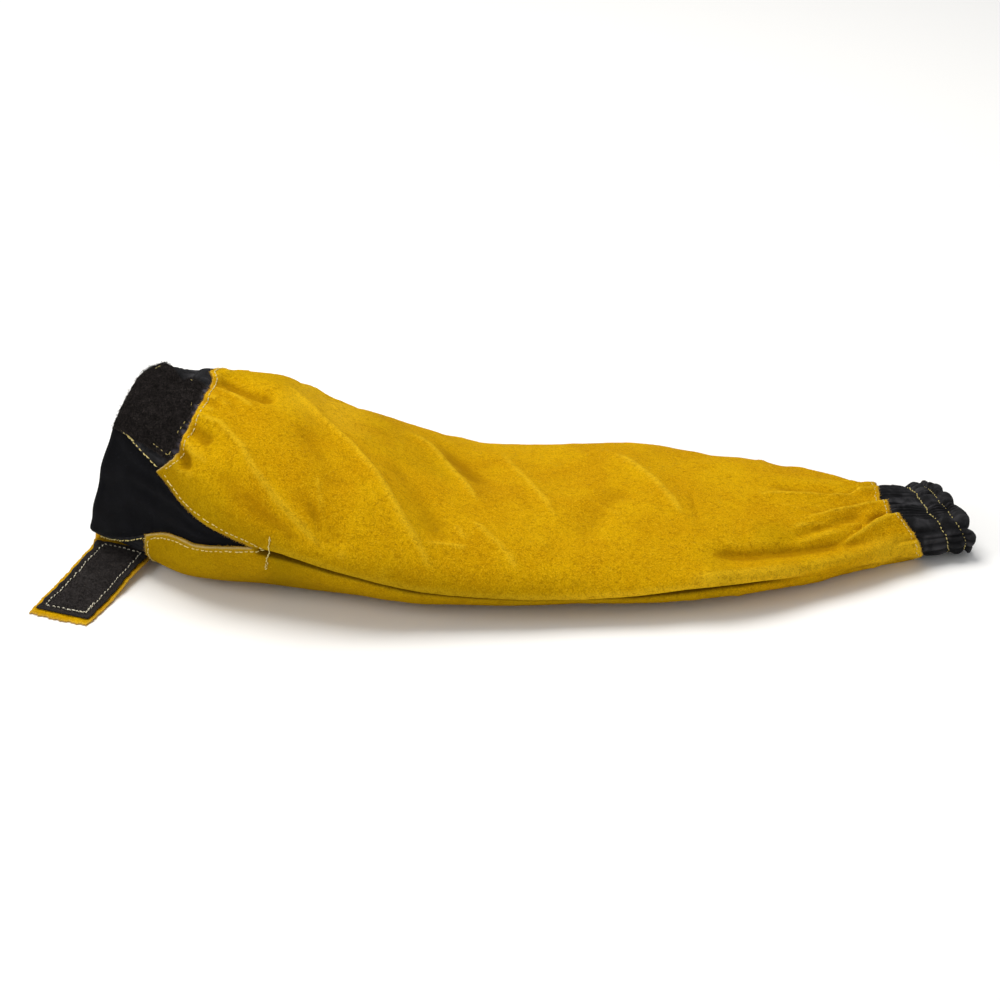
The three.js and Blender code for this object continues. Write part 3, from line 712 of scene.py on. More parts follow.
clothLook = {
    "shader": {
        "Sheen Weight": 0.03, "Sheen Roughness": 0.4, "Sheen Tint": paint("8f93a6"), "Specular IOR Level": 0.1,
    },
    "weaveScale": 0.314, "weaveWarp": 0.4,
    "faded": (0.012, 5, 0.6, 0.5), "fadedShown": (0.42, 0.72), "lint": (0.0011, 2, 0.5), "lintColor": "3c3d46",
    "lintShown": (0.66, 0.78, 0.5), "threads": 0.35, "fold": 0.8, "depth": 0.0007, "bump": 0.8,
}


def clothFinish(name, dark, worn, pitch):  # warp and weft from the map in millimetres
    look = clothLook
    f = Finish(name, look["shader"])
    onMap = f.node("ShaderNodeUVMap", {"uv_map": "clothMm"}, {})
    onMap = f.node("ShaderNodeMapping", {}, {0: onMap, 3: (1 / pitch, 1 / pitch, 1)})
    warp, weft = (f.bands(onMap, way, look["weaveScale"], look["weaveWarp"], 1.0) for way in ("X", "Y"))
    threads = warp * 0.5 + weft * 0.5
    faded, lint = (f.noise(f.place(), *look[key]) for key in ("faded", "lint"))
    color = f.mix(f.ramp(faded, *look["fadedShown"]), paint(dark), paint(worn))
    color = f.mix(threads * look["threads"], color, paint(worn))
    # painted shade in the troughs of the gathers
    color = f.mix(f.attribute("fold") * look["fold"], color, paint(dark))
    color = f.layer(color, lint, look["lintShown"], look["lintColor"])
    height = threads * 0.6 + faded * 0.6 + lint * 0.25
    return f.show(color, 0.8 + 0.15 * faded, height, look["depth"], look["bump"])


pileLook = {
    "shader": {
        "Sheen Weight": 0.14, "Sheen Roughness": 0.55, "Sheen Tint": paint("8a8078"), "Specular IOR Level": 0.06,
    },
    "fineColor": "4c4541",
    "mottled": (0.0042, 5, 0.7, 1.2), "mottledShown": (0.36, 0.7), "fine": (0.0009, 3, 0.65),
    "fineShown": (0.5, 0.7, 0.6), "depth": 0.0012, "bump": 0.9,
}


def pileFinish(name, dark, light, selvedge):
    look = pileLook
    f = Finish(name, look["shader"])
    mottled, fine = (f.noise(f.place(), *look[key]) for key in ("mottled", "fine"))
    color = f.mix(f.ramp(mottled, *look["mottledShown"]), paint(dark), paint(light))
    color = f.layer(color, fine, look["fineShown"], look["fineColor"])
    color = f.mix(f.attribute("selvedge"), color, paint(selvedge))
    return f.show(color, 0.9 + 0.1 * mottled, mottled * 0.8 + fine * 0.7, look["depth"], look["bump"])


threadLook = {
    "shader": {"Sheen Weight": 0.03, "Specular IOR Level": 0.15}, "twist": (900.0, 1.5),
    "stain": (0.006, 3, 0.6), "stainShown": (0.4, 0.7, 0.6), "depth": 0.0003, "bump": 0.6,
}


def threadFinish(name, light, dark):
    f = Finish(name, threadLook["shader"])
    twist = f.bands(f.place(), "DIAGONAL", *threadLook["twist"])
    stain = f.noise(f.place(), *threadLook["stain"])
    color = f.layer(paint(light), stain, threadLook["stainShown"], dark)
    color = f.mix(twist * 0.3, color, paint(dark))
    return f.show(color, 0.62 + 0.2 * stain, twist, threadLook["depth"], threadLook["bump"])


suede = suedeFinish()
blackCloth = clothFinish("blackCotton", "0c0c0d", "434244", 0.62)
gussetCloth = clothFinish("gussetCotton", "040406", "0b0b0f", 0.5)
loopPile = pileFinish("loopPile", "090808", "242020", "4d4952")
hookPile = pileFinish("hookTape", "1b1919", "2f2c2c", "262425")
creamThread = threadFinish("creamThread", "eedd94", "cbb15c")
whiteThread = threadFinish("paleThread", "f2ecd6", "cfc4a2")
print("finishes made")


# The leather, from the wrist edge to the gathered edge, opened along the V and the seam.
leather = {
    "rows": 272, "columns": 288, "innerRows": 44, "innerColumns": 96, "passes": 4, "pastPoint": 60,
    "rounding": 0.7, "curl": 0.9, "curlReach": 4.0, "ragged": 0.5, "raggedReach": 2.5, "cutReach": 0.5,
    "corner": (1.6, (0.079, 0.446), (7, 7)), "fuzz": ((0.12, 2.2, 32), (0.08, 1.1, 33)),
    "edgeAts": (0.08, 0.100, 0.115, 0.126, 0.137, 0.150, 0.175, 0.193),
    "edgeShifts": (1.0, 2.8, 1.6, 0.0, -1.6, -0.8, -0.2, 0.0),
}


def lowerLeather(at):  # the leather's lower edge wavers along the V
    return lowerEdge(at) - np.interp(at, leather["edgeAts"], leather["edgeShifts"]) / girthAt(at)


def leatherPlaces(rows, columns):  # closer rows at both ends
    share = np.linspace(0, 1, rows)
    dense = 1 + 0.75 * bell(share / 0.22) + 0.95 * bell((share - 1) / 0.16)
    rowShare = np.concatenate([[0], np.cumsum(1 / ((dense[1:] + dense[:-1]) / 2))])
    rowShare, across = np.meshgrid(rowShare / rowShare[-1], np.linspace(0, 1, columns), indexing="ij")
    at = leatherStart + rowShare * (leatherEnd - leatherStart)
    for _ in range(leather["passes"]):  # the edges wander with the place round the sleeve
        first, last = lowerLeather(at), upperEdge(at) + 1
        place = first + (last - first) * across
        start, end = wristEdgeAt(place), cuffEdgeAt(place)
        at = start + (end - start) * rowShare
    return at, place, across


# Where the suede gets painted shade, painted highlights and soiled patches. Windows along the sleeve are a start, a
# rise, an end and a fall.
nap = {
    "blurs": 40, "nearBlurs": 6, "hollowDepth": 2.4, "ridgeFrom": 0.16, "ridgeSpan": 0.55,
    "lowAts": (vPoint, 0.03, 0.66, 0.12), "lowSideShade": 0.6, "patchy": 0.35, "underSeam": (2.4, 3.6),
    "overSeam": 1.7, "belowReach": 60, "belowEnd": (0.16, 0.14), "aboveEnd": (0.42, 0.18),
    "aboveAts": (0.15, 0.24, 0.32, 0.42), "aboveReach": (38, 17, 25, 20), "awayOliveShade": 0.62, "awayShade": 0.18,
    "toLightFrom": (0.84, 0.06), "toLightRounds": (0.535, 0.11, 0.05),
    "crestAts": (0.175, 0.04, 0.27, 0.06), "crestRounds": (0.16, 0.13, 0.07), "crest": 0.85,
}


def blurred(height):  # a near and a far average, to tell ridges from hollows
    far = height.copy()
    for step in range(nap["blurs"]):
        far[1:-1] = (far[:-2] + 2 * far[1:-1] + far[2:]) / 4
        far[:, 1:-1] = (far[:, :-2] + 2 * far[:, 1:-1] + far[:, 2:]) / 4
        if step + 1 == nap["nearBlurs"]:
            near = far.copy()
    return near, far


def napPaint(at, place, side, height, base):
    girth = girthAt(at)
    near, far = blurred(height)
    # hollow: painted shade in the hollows between folds
    hollow = np.clip(np.maximum(far - height, 0) / nap["hollowDepth"], 0, 1)
    # ridge: a painted highlight along the ridges
    ridge = np.clip((height - near - nap["ridgeFrom"]) / nap["ridgeSpan"], 0, 1)
    fromSeam = roundGap(place, seamOf(at)) * girth
    closed = between(at, vPoint, 0.01, seam["closes"], 0.05)
    # painted olive shade on the near side below the seam, with random soiled patches over all
    lowSide = (side > 0) * smooth(fromSeam / 3) * (1 - rising(roundGap(place, 0.7), 0, 0.1))
    soilAndShade = nap["lowSideShade"] * lowSide * between(at, *nap["lowAts"])
    soilAndShade = soilAndShade + nap["patchy"] * smooth(cloud(base, 38, 35) - 0.2)
    under, reach = nap["underSeam"]
    shade = closed * np.where(side > 0, smooth(1 - (fromSeam - under) / reach), smooth(nap["overSeam"] + fromSeam))
    # painted shade along the V and under it, where the leather turns down away from the light
    above, below = roundGap(upperEdge(at), place) * girth, roundGap(place, lowerEdge(at)) * girth
    awayBelow = smooth(1.6 - below / nap["belowReach"]) * (1 - rising(at, *nap["belowEnd"]))
    aboveReach = np.interp(at, nap["aboveAts"], nap["aboveReach"])
    awayAbove = smooth(1.1 - above / aboveReach) * (1 - rising(at, *nap["aboveEnd"]))
    away = np.where(side > 0, awayBelow, awayAbove)
    # painted highlights: along the ridges, by the cuff end where it faces the light, and on the crest
    toLight = rising(at, *nap["toLightFrom"]) * nearRound(place, *nap["toLightRounds"])
    onCrest = between(at, *nap["crestAts"]) * nearRound(place, *nap["crestRounds"])
    return {
        "hollow": hollow, "ridge": np.maximum(ridge, np.maximum(toLight, nap["crest"] * onCrest)),
        "soilAndShade": np.clip(np.clip(soilAndShade, 0, 1) + nap["awayOliveShade"] * away, 0, 1),
        "shade": np.clip(shade + nap["awayShade"] * away, 0, 1),
    }


def makeLeather():
    at, place, across = leatherPlaces(leather["rows"], leather["columns"])
    side = np.where(across < 0.5, 1, -1)
    base = lookUp(tablePoints, at, place)
    fromWrist, fromCuff = inMm(at - wristEdgeAt(place)), inMm(cuffEdgeAt(place) - at)
    fromSide = np.minimum(across, 1 - across) * (upperEdge(at) + 1 - lowerEdge(at)) * girthAt(at)
    fromSide = fromSide + np.where(at > vPoint, leather["pastPoint"], 0)
    fromEdge = np.minimum(np.minimum(fromWrist, fromCuff), fromSide)
    height = relief(at, place, side)
    curl = leather["curl"] * np.exp(-fromEdge / leather["curlReach"]) * (0.45 + 0.8 * cloud(base, 9, 31))
    corner = spot(at, place, *leather["corner"])
    lift = (curl + corner + clouds(base, leather["fuzz"])) * offFloor(place)
    outer = onSkin(at, place, lift - leather["rounding"] * np.exp(-fromEdge / leather["rounding"]), height=height)
    ragged = leather["ragged"] * np.exp(-fromSide / leather["raggedReach"]) * cloud(base, 2.4, 34)
    outer += unit(np.gradient(base, axis=1)) * ragged[..., None]
    innerAt, innerPlace, innerAcross = leatherPlaces(leather["innerRows"], leather["innerColumns"])
    innerLift = np.full(innerAt.shape, -form["leatherWall"])
    inner = onSkin(innerAt, innerPlace, innerLift, np.where(innerAcross < 0.5, 1, -1))
    # the cut edge is pale beside the V and at the band's corners
    atCorner = rising(np.abs(roundGap(place, 0.25)), 0.15, 0.02)
    paleSide = np.where(across < 0.5, 1.0, 0.12)
    paleEnd = np.where(fromCuff < fromWrist, 0.3, 0.2 + 0.7 * atCorner)
    pale = np.where(fromSide <= np.minimum(fromWrist, fromCuff), paleSide, paleEnd)
    painted = napPaint(at, place, side, height, base)
    painted["cut"] = pale * np.exp(-fromEdge / leather["cutReach"])
    sheetPiece("leatherBody", outer, inner, suede, slot="suede", replaced="leather_body", attributes=painted)


# Black cuff: two stitch rows pinch it, gathers radiate, the free edge is puffed.
cuff = {
    "rows": 76, "columns": 432, "under": 12.0, "wall": 2.4, "gathers": 33, "gatherRise": 1.35,
    "puffs": (1.3, 2.8, 4.2), "edgeLobes": 8, "edgeRise": 3.2, "edgeReach": 5.0, "roll": 6.0, "topReach": 0.003,
    "pinch": 0.9, "pinchReach": 1.1, "rowWaves": (0.0006, (7, 11)), "fuzz": 0.1, "mapWidth": 190,
}
cuffRows = [
    ((0.0, 0.967), (0.146, 0.970), (0.345, 0.9655), (0.358, 0.9675), (0.554, 0.971), (0.75, 0.968), (1.0, 0.967)),
    ((0.0, 0.986), (0.167, 0.989), (0.317, 0.9865), (0.417, 0.988), (0.567, 0.991), (0.75, 0.989), (1.0, 0.986)),
]


def cuffRowsAt(place):
    return [wavyLine(place, np.array(row), ((*cuff["rowWaves"], seed),)) for row, seed in zip(cuffRows, (41, 42))]


def cuffLift(at, place):  # height over the seat, how deep a gather is, and the free edge's lobes
    turn = turnOf(place)
    edge, (one, two) = cuffEdgeAt(place), cuffRowsAt(place)
    phase = 2 * math.pi * (cuff["gathers"] * turn + 0.9 * ripple(turn, (3, 5, 8), 43) + 2.2 * (at - 0.96))
    wave = np.cos(phase) * 0.7 + 0.3 * np.cos(1.7 * phase + 1)
    wave = np.sign(wave) * np.abs(wave) ** 0.75 * (0.8 + 0.35 * ripple(turn, (4, 7, 9), 46))
    shown = smooth(inMm(at - edge) / 3.5)
    span = [np.clip((at - a) / np.maximum(b - a, 1e-4), 0, 1) for a, b in ((edge, one), (one, two), (two, 1.0))]
    puff = np.sqrt(np.clip(1 - (1 - np.minimum(span[2] / 0.55, 1)) ** 2, 0, 1))
    bulges = [np.sin(math.pi * span[0]), np.sin(math.pi * span[1]), puff]
    puffed = sum(rise * bulge for rise, bulge in zip(cuff["puffs"], bulges))
    pinch = cuff["pinch"] * sum(bell(inMm(at - row) / cuff["pinchReach"]) for row in (one, two))
    lobe = np.sqrt(np.abs(np.cos(math.pi * (cuff["edgeLobes"] * turn + 0.35 * ripple(turn, (2, 3), 44)))) + 0.02)
    free = smooth((at - two) / np.maximum(1 - two, 1e-4))
    gathered = cuff["gatherRise"] * wave * (0.45 + 0.55 * np.maximum.reduce(bulges)) * (1 - 0.75 * free)
    lift = puffed * (0.8 + 0.2 * wave * (1 - free)) + gathered + cuff["edgeRise"] * (lobe - 0.8) * free
    # the second value, how deep a gather's trough is, is painted as shade on the cloth
    return (lift * shown - pinch) * offFloor(place), np.clip(0.5 - 0.5 * wave, 0, 1) * shown, lobe


def makeCuff():
    rowShare, across = grid(cuff["rows"], cuff["columns"])
    rowShare = rowShare**0.92
    start = cuffEdgeAt(across) - cuff["under"] / form["length"]
    lobe = cuffLift(np.full(across.shape, 0.99), across)[2]
    nearTop = 1 - rising(np.abs(roundGap(across, 0.25)), 0.1, 0.22)
    end = 1 + cuff["topReach"] * nearTop + cuff["edgeReach"] * (lobe - 0.75) / form["length"]
    at = start + (end - start) * rowShare
    lift, gather, _ = cuffLift(at, across)
    toEnd = np.clip(1 + inMm(at - end) / cuff["roll"], 0, 1)
    rolled = cuff["roll"] * 0.9 * (1 - np.sqrt(1 - toEnd**2))
    under = 0.5 * (1 - smooth(inMm(at - cuffEdgeAt(across)) / 2 + 0.6))
    fuzz = cuff["fuzz"] * cloud(lookUp(tablePoints, at, across), 2.5, 45)
    outer = onSkin(at, across, seat + lift - rolled - under + fuzz)
    innerLift = (seat - cuff["wall"] + 0.4 * lift - 1.2 * toEnd**2)[::3, ::3]
    inner = onSkin(at[::3, ::3], across[::3, ::3], innerLift)
    mapped = np.stack([across * cuff["mapWidth"], inMm(at)], -1)
    looks = {"slot": "black_cloth", "replaced": "elastic_cuff", "attributes": {"fold": gather}, "uv": mapped}
    sheetPiece("cuffCloth", outer, inner, blackCloth, closed=True, **looks)


# The patch's first and last side are rounds at the mouth and at the leather's edge.
patch = {
    "first": (0.204, 0.262), "last": (0.388, 0.424), "end": 0.0905, "rows": 84, "columns": 96, "size": (51, 52),
    "wall": 1.6, "sunk": 0.25, "lump": (4.2, (0.022, 0.235), (9.5, 14)),
    "ridge": (1.2, (0.050, 0.285), (6, 14)), "fuzz": ((0.35, 5, 81), (0.28, 1.9, 82)), "tufts": 9000,
    "tuftRadius": (0.06, 0.13), "selvedge": 0.75,
}
# Black wrist band, gathered by its elastic except under the loop patch.
band = {
    "rows": 72, "columns": 380, "wall": 2.2, "gathers": 40, "rise": 1.1, "casings": (9.0, 21.0, 33.0),
    "casingReach": 1.2, "casingRise": 0.7, "under": 10.0, "passes": 3, "hem": 0.9, "welt": (0.9, 1.5, 1.8),
    "mapWidth": 210,
}


def patchAt(rowShare, share):  # from the mouth to the leather's edge
    place = patchRound(patch["end"] * rowShare, share)
    start, end = mouthAt(place) + 0.0015, wristEdgeAt(place) + 0.0006
    return start + (end - start) * rowShare


def patchRound(at, share):
    along = np.clip(at / patch["end"], 0, 1.1)
    first, last = (start + (end - start) * along for start, end in (patch["first"], patch["last"]))
    return first + (last - first) * share


def besidePatch(at, place):
    outside = np.maximum(roundGap(patchRound(at, 0), place), roundGap(place, patchRound(at, 1))) * girthAt(at)
    return rising(outside, 0.3, 3.5)


def bandLift(at, place):
    phase = 2 * math.pi * (band["gathers"] * place + 0.8 * ripple(place, (3, 5, 9), 51) + 3 * at)
    wave = np.cos(phase) * 0.7 + 0.3 * np.cos(1.6 * phase + 2)
    shown = smooth(inMm(wristEdgeAt(place) - at) / 4)
    casing = sum(bell((inMm(at) - row) / band["casingReach"]) for row in band["casings"])
    lift = band["rise"] * (wave + 0.6) * shown + band["casingRise"] * (1 - np.clip(casing, 0, 1)) * shown
    # the second value is painted as shade in the troughs of the gathers
    return lift * besidePatch(at, place) * offFloor(place), np.clip(0.5 - 0.5 * wave, 0, 1) * shown


def makeBand():
    rowShare, across = grid(band["rows"], band["columns"])
    at = np.zeros(across.shape)
    for _ in range(band["passes"]):
        first, last = lowerEdge(at), upperEdge(at) + 1
        place = first + (last - first) * across
        end = wristEdgeAt(place) + band["under"] / form["length"]
        at = mouthAt(place) + (end - mouthAt(place)) * rowShare
    lift, gather = bandLift(at, place)
    hem = -band["hem"] * np.exp(-inMm(at - mouthAt(place)) / band["hem"])
    fromSide = np.minimum(across, 1 - across) * (upperEdge(at) + 1 - lowerEdge(at)) * girthAt(at)
    weltRise, weltFrom, weltReach = band["welt"]
    welt = weltRise * bell((fromSide - weltFrom) / weltReach) * smooth(inMm(wristEdgeAt(place) - at) / 4)
    outer = onSkin(at, place, seat + lift + hem + (welt - 0.8 * np.exp(-fromSide / 0.5)))
    inner = onSkin(at[::3, ::3], place[::3, ::3], seat - band["wall"] + 0.6 * lift[::3, ::3])
    mapped = np.stack([across * band["mapWidth"], inMm(at)], -1)
    looks = {"slot": "black_cloth", "replaced": "wrist_band", "attributes": {"fold": gather}, "uv": mapped}
    sheetPiece("wristBand", outer, inner, blackCloth, **looks)


# Cloth in the V, with soft puckers running to its point.
gusset = {
    "rows": 110, "columns": 72, "wall": 1.2, "pucker": 0.8, "under": 7.0, "underBand": 2.6, "passes": 3,
    "tuckDepth": 2.5, "hem": (0.5, 0.8), "hemRoll": 2.5,
}


def gussetPlaces():
    rowShare, across = grid(gusset["rows"], gusset["columns"])
    end = vPoint + form["tuck"] / form["length"]
    at = rowShare * end
    for _ in range(gusset["passes"]):
        margin = np.where(at < leatherStart, gusset["underBand"], gusset["under"]) / girthAt(at)
        first, last = upperEdge(np.minimum(at, vPoint)) - margin, lowerEdge(np.minimum(at, vPoint)) + margin
        place = first + (last - first) * across
        at = mouthAt(place) + (end - mouthAt(place)) * rowShare
    return at, place, across, margin


def makeGusset():
    at, place, across, margin = gussetPlaces()
    base, girth = lookUp(tablePoints, at, place), girthAt(at)
    upper, lower = upperEdge(np.minimum(at, vPoint)), lowerEdge(np.minimum(at, vPoint))
    free = smooth(np.minimum(place - upper, lower - place) * girth / 9)
    fan = np.cos(2 * math.pi * (3.3 * across + 0.5 * cloud(base, 30, 61)))
    lift = gusset["pucker"] * (fan * smooth((lower - upper) * girth / 30) + 0.7 * cloud(base, 12, 62)) * free
    fromSide = np.minimum(across, 1 - across) * (lowerEdge(at) - upperEdge(at) + 2 * margin) * girth
    tucked = np.where(at < leatherStart, smooth((margin * girth - fromSide) / 2.2), 0)
    fromMouth = inMm(at - mouthAt(place))
    depth, reach = gusset["hem"]
    hem = -depth * np.exp(-fromMouth / reach) + depth * bell((fromMouth - gusset["hemRoll"]) / gusset["hemRoll"])
    outer = onSkin(at, place, seat + lift + hem * (1 - tucked) - gusset["tuckDepth"] * tucked)
    innerLift = (seat - gusset["wall"] + lift - gusset["tuckDepth"] * tucked)[::2, ::2]
    inner = onSkin(at[::2, ::2], place[::2, ::2], innerLift)
    mapped = np.stack([place * girth, inMm(at)], -1)
    looks = {"slot": "black_cloth", "replaced": "gusset", "attributes": {"fold": np.zeros(at.shape)}, "uv": mapped}
    sheetPiece("gussetCloth", outer, inner, gussetCloth, **looks)


# Tapered arched tubes, all in one mesh. starts, ends and outs are rows of points and directions.
def strands(starts, ends, outs, radius, arch, sink, sides=5, rings=7):
    count = len(starts)
    t = np.linspace(0, 1, rings)
    run = ends - starts
    direction = unit(run)
    across = unit(np.cross(direction, outs))
    up = np.cross(across, direction)
    profile = np.sin(math.pi * t) ** 0.6
    rise = outs[:, None] * ((arch + sink) * profile - sink)[None, :, None]
    middle = starts[:, None] + run[:, None] * t[None, :, None] + rise
    thick = np.broadcast_to(radius, count)[:, None] * (0.45 + 0.55 * profile)
    angle = (np.arange(sides) * 2 * math.pi / sides)[None, None, :, None]
    ring = np.cos(angle) * across[:, None, None] + np.sin(angle) * up[:, None, None]
    vertices = middle[:, :, None] + ring * thick[:, :, None, None]
    n = np.arange(count * rings * sides).reshape(count, rings, sides)
    beside = np.roll(n, -1, axis=2)
    quads = np.stack([n[:, :-1], beside[:, :-1], beside[:, 1:], n[:, 1:]], -1).reshape(-1, 4)
    return vertices.reshape(-1, 3), quads.tolist() + n[:, 0, ::-1].tolist() + n[:, -1].tolist()


def joined(parts):
    vertices, faces, first = [], [], 0
    for points, quads in parts:
        vertices.append(points)
        faces += [[v + first for v in quad] for quad in quads]
        first += len(points)
    return np.concatenate(vertices), faces


# Lengths in mm; share is how much of the pitch a stitch takes up.
stitching = {"pitch": 3.7, "share": 0.83, "radius": 0.41, "wander": 0.25, "arch": 0.42, "sink": 0.5}


def stitchLine(points, outs, seed, **changed):
    look = {**stitching, **changed}
    rng = np.random.default_rng(seed)
    lengths = np.concatenate([[0], np.cumsum(np.linalg.norm(np.diff(points, axis=0), axis=1))])
    count = max(1, int(lengths[-1] / look["pitch"]))

    def alongLine(distance, rows):
        return np.stack([np.interp(distance, lengths, rows[:, k]) for k in range(3)], -1)

    starts = (np.arange(count) + rng.uniform(-0.08, 0.08, count)) * lengths[-1] / count
    ends = starts + lengths[-1] / count * look["share"] * rng.uniform(0.85, 1.12, count)
    out = unit(alongLine((starts + ends) / 2, outs))
    shift = rng.normal(0, look["wander"], (count, 3))
    shift -= (shift * out).sum(1, keepdims=True) * out
    stray = rng.normal(0, look["wander"] * 0.5, (count, 3)) * 0.5
    radius = look["radius"] * rng.uniform(0.85, 1.15, count)
    first, last = alongLine(starts, points) + shift, alongLine(ends, points) + shift + stray
    return strands(first, last, out, radius, look["arch"], look["sink"])


def skinLine(ats, rounds, lift, side=None):
    return onSkin(ats, rounds, lift + np.zeros(ats.shape), side), outwardAt(ats, rounds)


# Insets and lifts are in mm. A shape is a radius, an arch and a sink. Each side of the patch runs between two
# shares of it, along and across.
sewing = {
    "wristInset": 3.6, "cuffInset": 3.2, "sideInset": (0.6, 2.8), "lift": 0.1, "sideLift": 0.15,
    "tack": {
        "rounds": (0.484, 0.539), "at": 0.2105, "drift": 0.003, "count": 15, "lift": 0.25, "reach": (0.003, 0.0065),
        "shape": (0.37, 0.4, 0.3),
    },
    "join": {"ats": (0.006, 0.077), "inset": 1.6, "lift": 1.1},
    "joinLook": {"pitch": 3.6, "share": 0.72, "radius": 0.38},
    "knot": {"even": (0.004, 0.022, 5), "loose": (0.020, 0.032, 7), "lift": 1.15, "shape": (0.4, 0.5, 0.2)},
    "knotReach": 0.0048, "looseReach": (0.002, 0.004),
    "cuffLook": {"pitch": 2.9, "share": 0.7, "radius": 0.36, "arch": 0.5}, "cuffLift": 0.35,
    "patchLook": {"pitch": 3.9, "share": 0.55, "radius": 0.26, "arch": 0.15},
    "patchSides": (
        ((0.66, 0.93), (0.94, 0.94), 80), ((0.93, 0.94), (0.93, 0.84), 81), ((0.92, 0.70), (0.92, 0.52), 82),
        ((0.90, 0.36), (0.88, 0.27), 83), ((0.28, 0.12), (0.16, 0.22), 84), ((0.72, 0.06), (0.80, 0.06), 85),
    ),
}


def suedeRows():  # along the wrist edge, both sides of the V and the gathered edge
    around = np.linspace(float(lowerEdge(0.085)) + 0.012, float(upperEdge(0.085)) + 1 - 0.012, 900)
    inset = sewing["wristInset"] / form["length"]
    rows = [stitchLine(*skinLine(wristEdgeAt(around) + inset, around, sewing["lift"]), 71)]
    down = np.linspace(0.084, vPoint + 0.013, 320)
    least, more = sewing["sideInset"]
    for edge, sign, seed in ((upperEdge, -1, 72), (lowerLeather, 1, 73)):
        inset = least + more * (1 - rising(down, vPoint, 0.012))
        place = edge(np.minimum(down, vPoint)) + sign * inset / girthAt(down)
        rows.append(stitchLine(*skinLine(down, place, sewing["sideLift"], np.full(down.shape, sign)), seed))
    around = np.linspace(float(seamOf(0.92)) + 0.01, float(seamOf(0.92)) + 0.99, 1200)
    inset = sewing["cuffInset"] / form["length"]
    line = skinLine(cuffEdgeAt(around) - inset, around, sewing["lift"])
    return rows + [stitchLine(*line, 74, pitch=3.4, radius=0.3)]


def makeStitches():
    onSuede, onBlack = suedeRows(), []
    # bar tack across the seam below the V's point
    rng = np.random.default_rng(75)
    tack = sewing["tack"]
    first, last = tack["rounds"]
    count = tack["count"]
    place = np.linspace(first, last, count)
    at = tack["at"] - tack["drift"] * (place - first) / (last - first)
    starts, outs = skinLine(at + rng.uniform(-0.7, 0.7, count) / form["length"], place, tack["lift"])
    endAt = at + rng.uniform(-0.7, 0.7, count) / form["length"]
    ends, _ = skinLine(endAt, place + rng.uniform(*tack["reach"], count), tack["lift"])
    onSuede.append(strands(starts, ends, outs, *tack["shape"]))
    # joins of the band and the gusset
    join = sewing["join"]
    for edge, sign, seed in ((upperEdge, -1, 76), (lowerEdge, 1, 77)):
        down = np.linspace(*join["ats"], 160)
        place = edge(down) + sign * join["inset"] / girthAt(down)
        line = skinLine(down, place, seat + join["lift"] + bandLift(down, place)[0])
        onBlack.append(stitchLine(*line, seed, **sewing["joinLook"]))
    # the knot of thread at the mouth, and its loose ends
    knot = sewing["knot"]
    even, loose = knot["even"][2], knot["loose"][2]
    at = np.concatenate([np.linspace(*knot["even"]), rng.uniform(*knot["loose"])])
    place = upperEdge(at) + (rng.uniform(-0.5, 0.5, even + loose) - join["inset"]) / girthAt(at)
    starts, outs = skinLine(at, place, seat + knot["lift"])
    endAt = at + np.concatenate([np.full(even, sewing["knotReach"]), rng.uniform(*sewing["looseReach"], loose)])
    place = upperEdge(endAt) + (rng.uniform(-0.9, 0.9, even + loose) - join["inset"]) / girthAt(at)
    ends, _ = skinLine(endAt, place, seat + knot["lift"])
    onBlack.append(strands(starts, ends, outs, *knot["shape"]))
    # the cuff's two rows
    around = np.linspace(0, 1, 2400)
    for at, seed in zip(cuffRowsAt(around), (78, 79)):
        line = skinLine(at, around, seat + sewing["cuffLift"] + cuffLift(at, around)[0])
        onBlack.append(stitchLine(*line, seed, **sewing["cuffLook"]))
    # round the loop patch, sunk in its pile
    for start, end, seed in sewing["patchSides"]:
        rowShare, share = (np.linspace(*ends, 30) for ends in zip(start, end))
        at = patchAt(rowShare, share)
        place = patchRound(at, share)
        onBlack.append(stitchLine(*skinLine(at, place, patchLift(at, place) - 0.1), seed, **sewing["patchLook"]))
    meshPiece("suedeStitches", *joined(onSuede), creamThread)
    meshPiece("clothStitches", *joined(onBlack), creamThread)


def patchLift(at, place):
    raised = spot(at, place, *patch["lump"]) + spot(at, place, *patch["ridge"])
    return raised + clouds(lookUp(tablePoints, at, place), patch["fuzz"])


def makePatch():
    depth, run = patch["size"]
    rowShare, share = grid(patch["rows"], patch["columns"])
    at = patchAt(rowShare, share) + 0.0005 * ripple(share, (3, 7, 19, 31), 83) * np.abs(rowShare * 2 - 1)
    place = patchRound(at, share) + 0.0012 * ripple(rowShare, (2, 5, 13, 29), 84) * np.abs(share * 2 - 1)
    lift = patchLift(at, place) - patch["sunk"]
    fromEdge = np.minimum(np.minimum(rowShare, 1 - rowShare) * depth, np.minimum(share, 1 - share) * run)
    outer = onSkin(at, place, lift - 0.8 * np.exp(-fromEdge / 0.9))
    inner = onSkin(at[::3, ::3], place[::3, ::3], (lift - patch["wall"])[::3, ::3])
    width = (1.5 + 1.3 * ripple(share, (4, 9, 13), 86)).clip(0.7)
    selvedge = patch["selvedge"] * smooth(1.4 - (1 - rowShare) * depth / width)
    looks = {"slot": "loop_pile", "replaced": "loop_patch", "attributes": {"selvedge": selvedge}}
    sheetPiece("loopPatch", outer, inner, loopPile, **looks)
    rng = np.random.default_rng(85)
    count = patch["tufts"]
    rowShare, share = rng.random(count) * 0.94, rng.random(count) * 0.98 + 0.01
    at = patchAt(rowShare, share)
    place = patchRound(at, share)
    root, out = onSkin(at, place, patchLift(at, place) - 0.3), outwardAt(at, place)
    lean = rng.normal(0, 0.75, (count, 3))
    tip = root + lean * rng.uniform(0.6, 1.3, (count, 1)) + out * rng.uniform(-0.1, 0.5, (count, 1))
    tufts = strands(root, tip, out, rng.uniform(*patch["tuftRadius"], count), 0.55, 0.1, sides=3, rings=4)
    meshPiece("loopTufts", *tufts, loopPile, slot="loop_pile", attributes={"selvedge": 0})


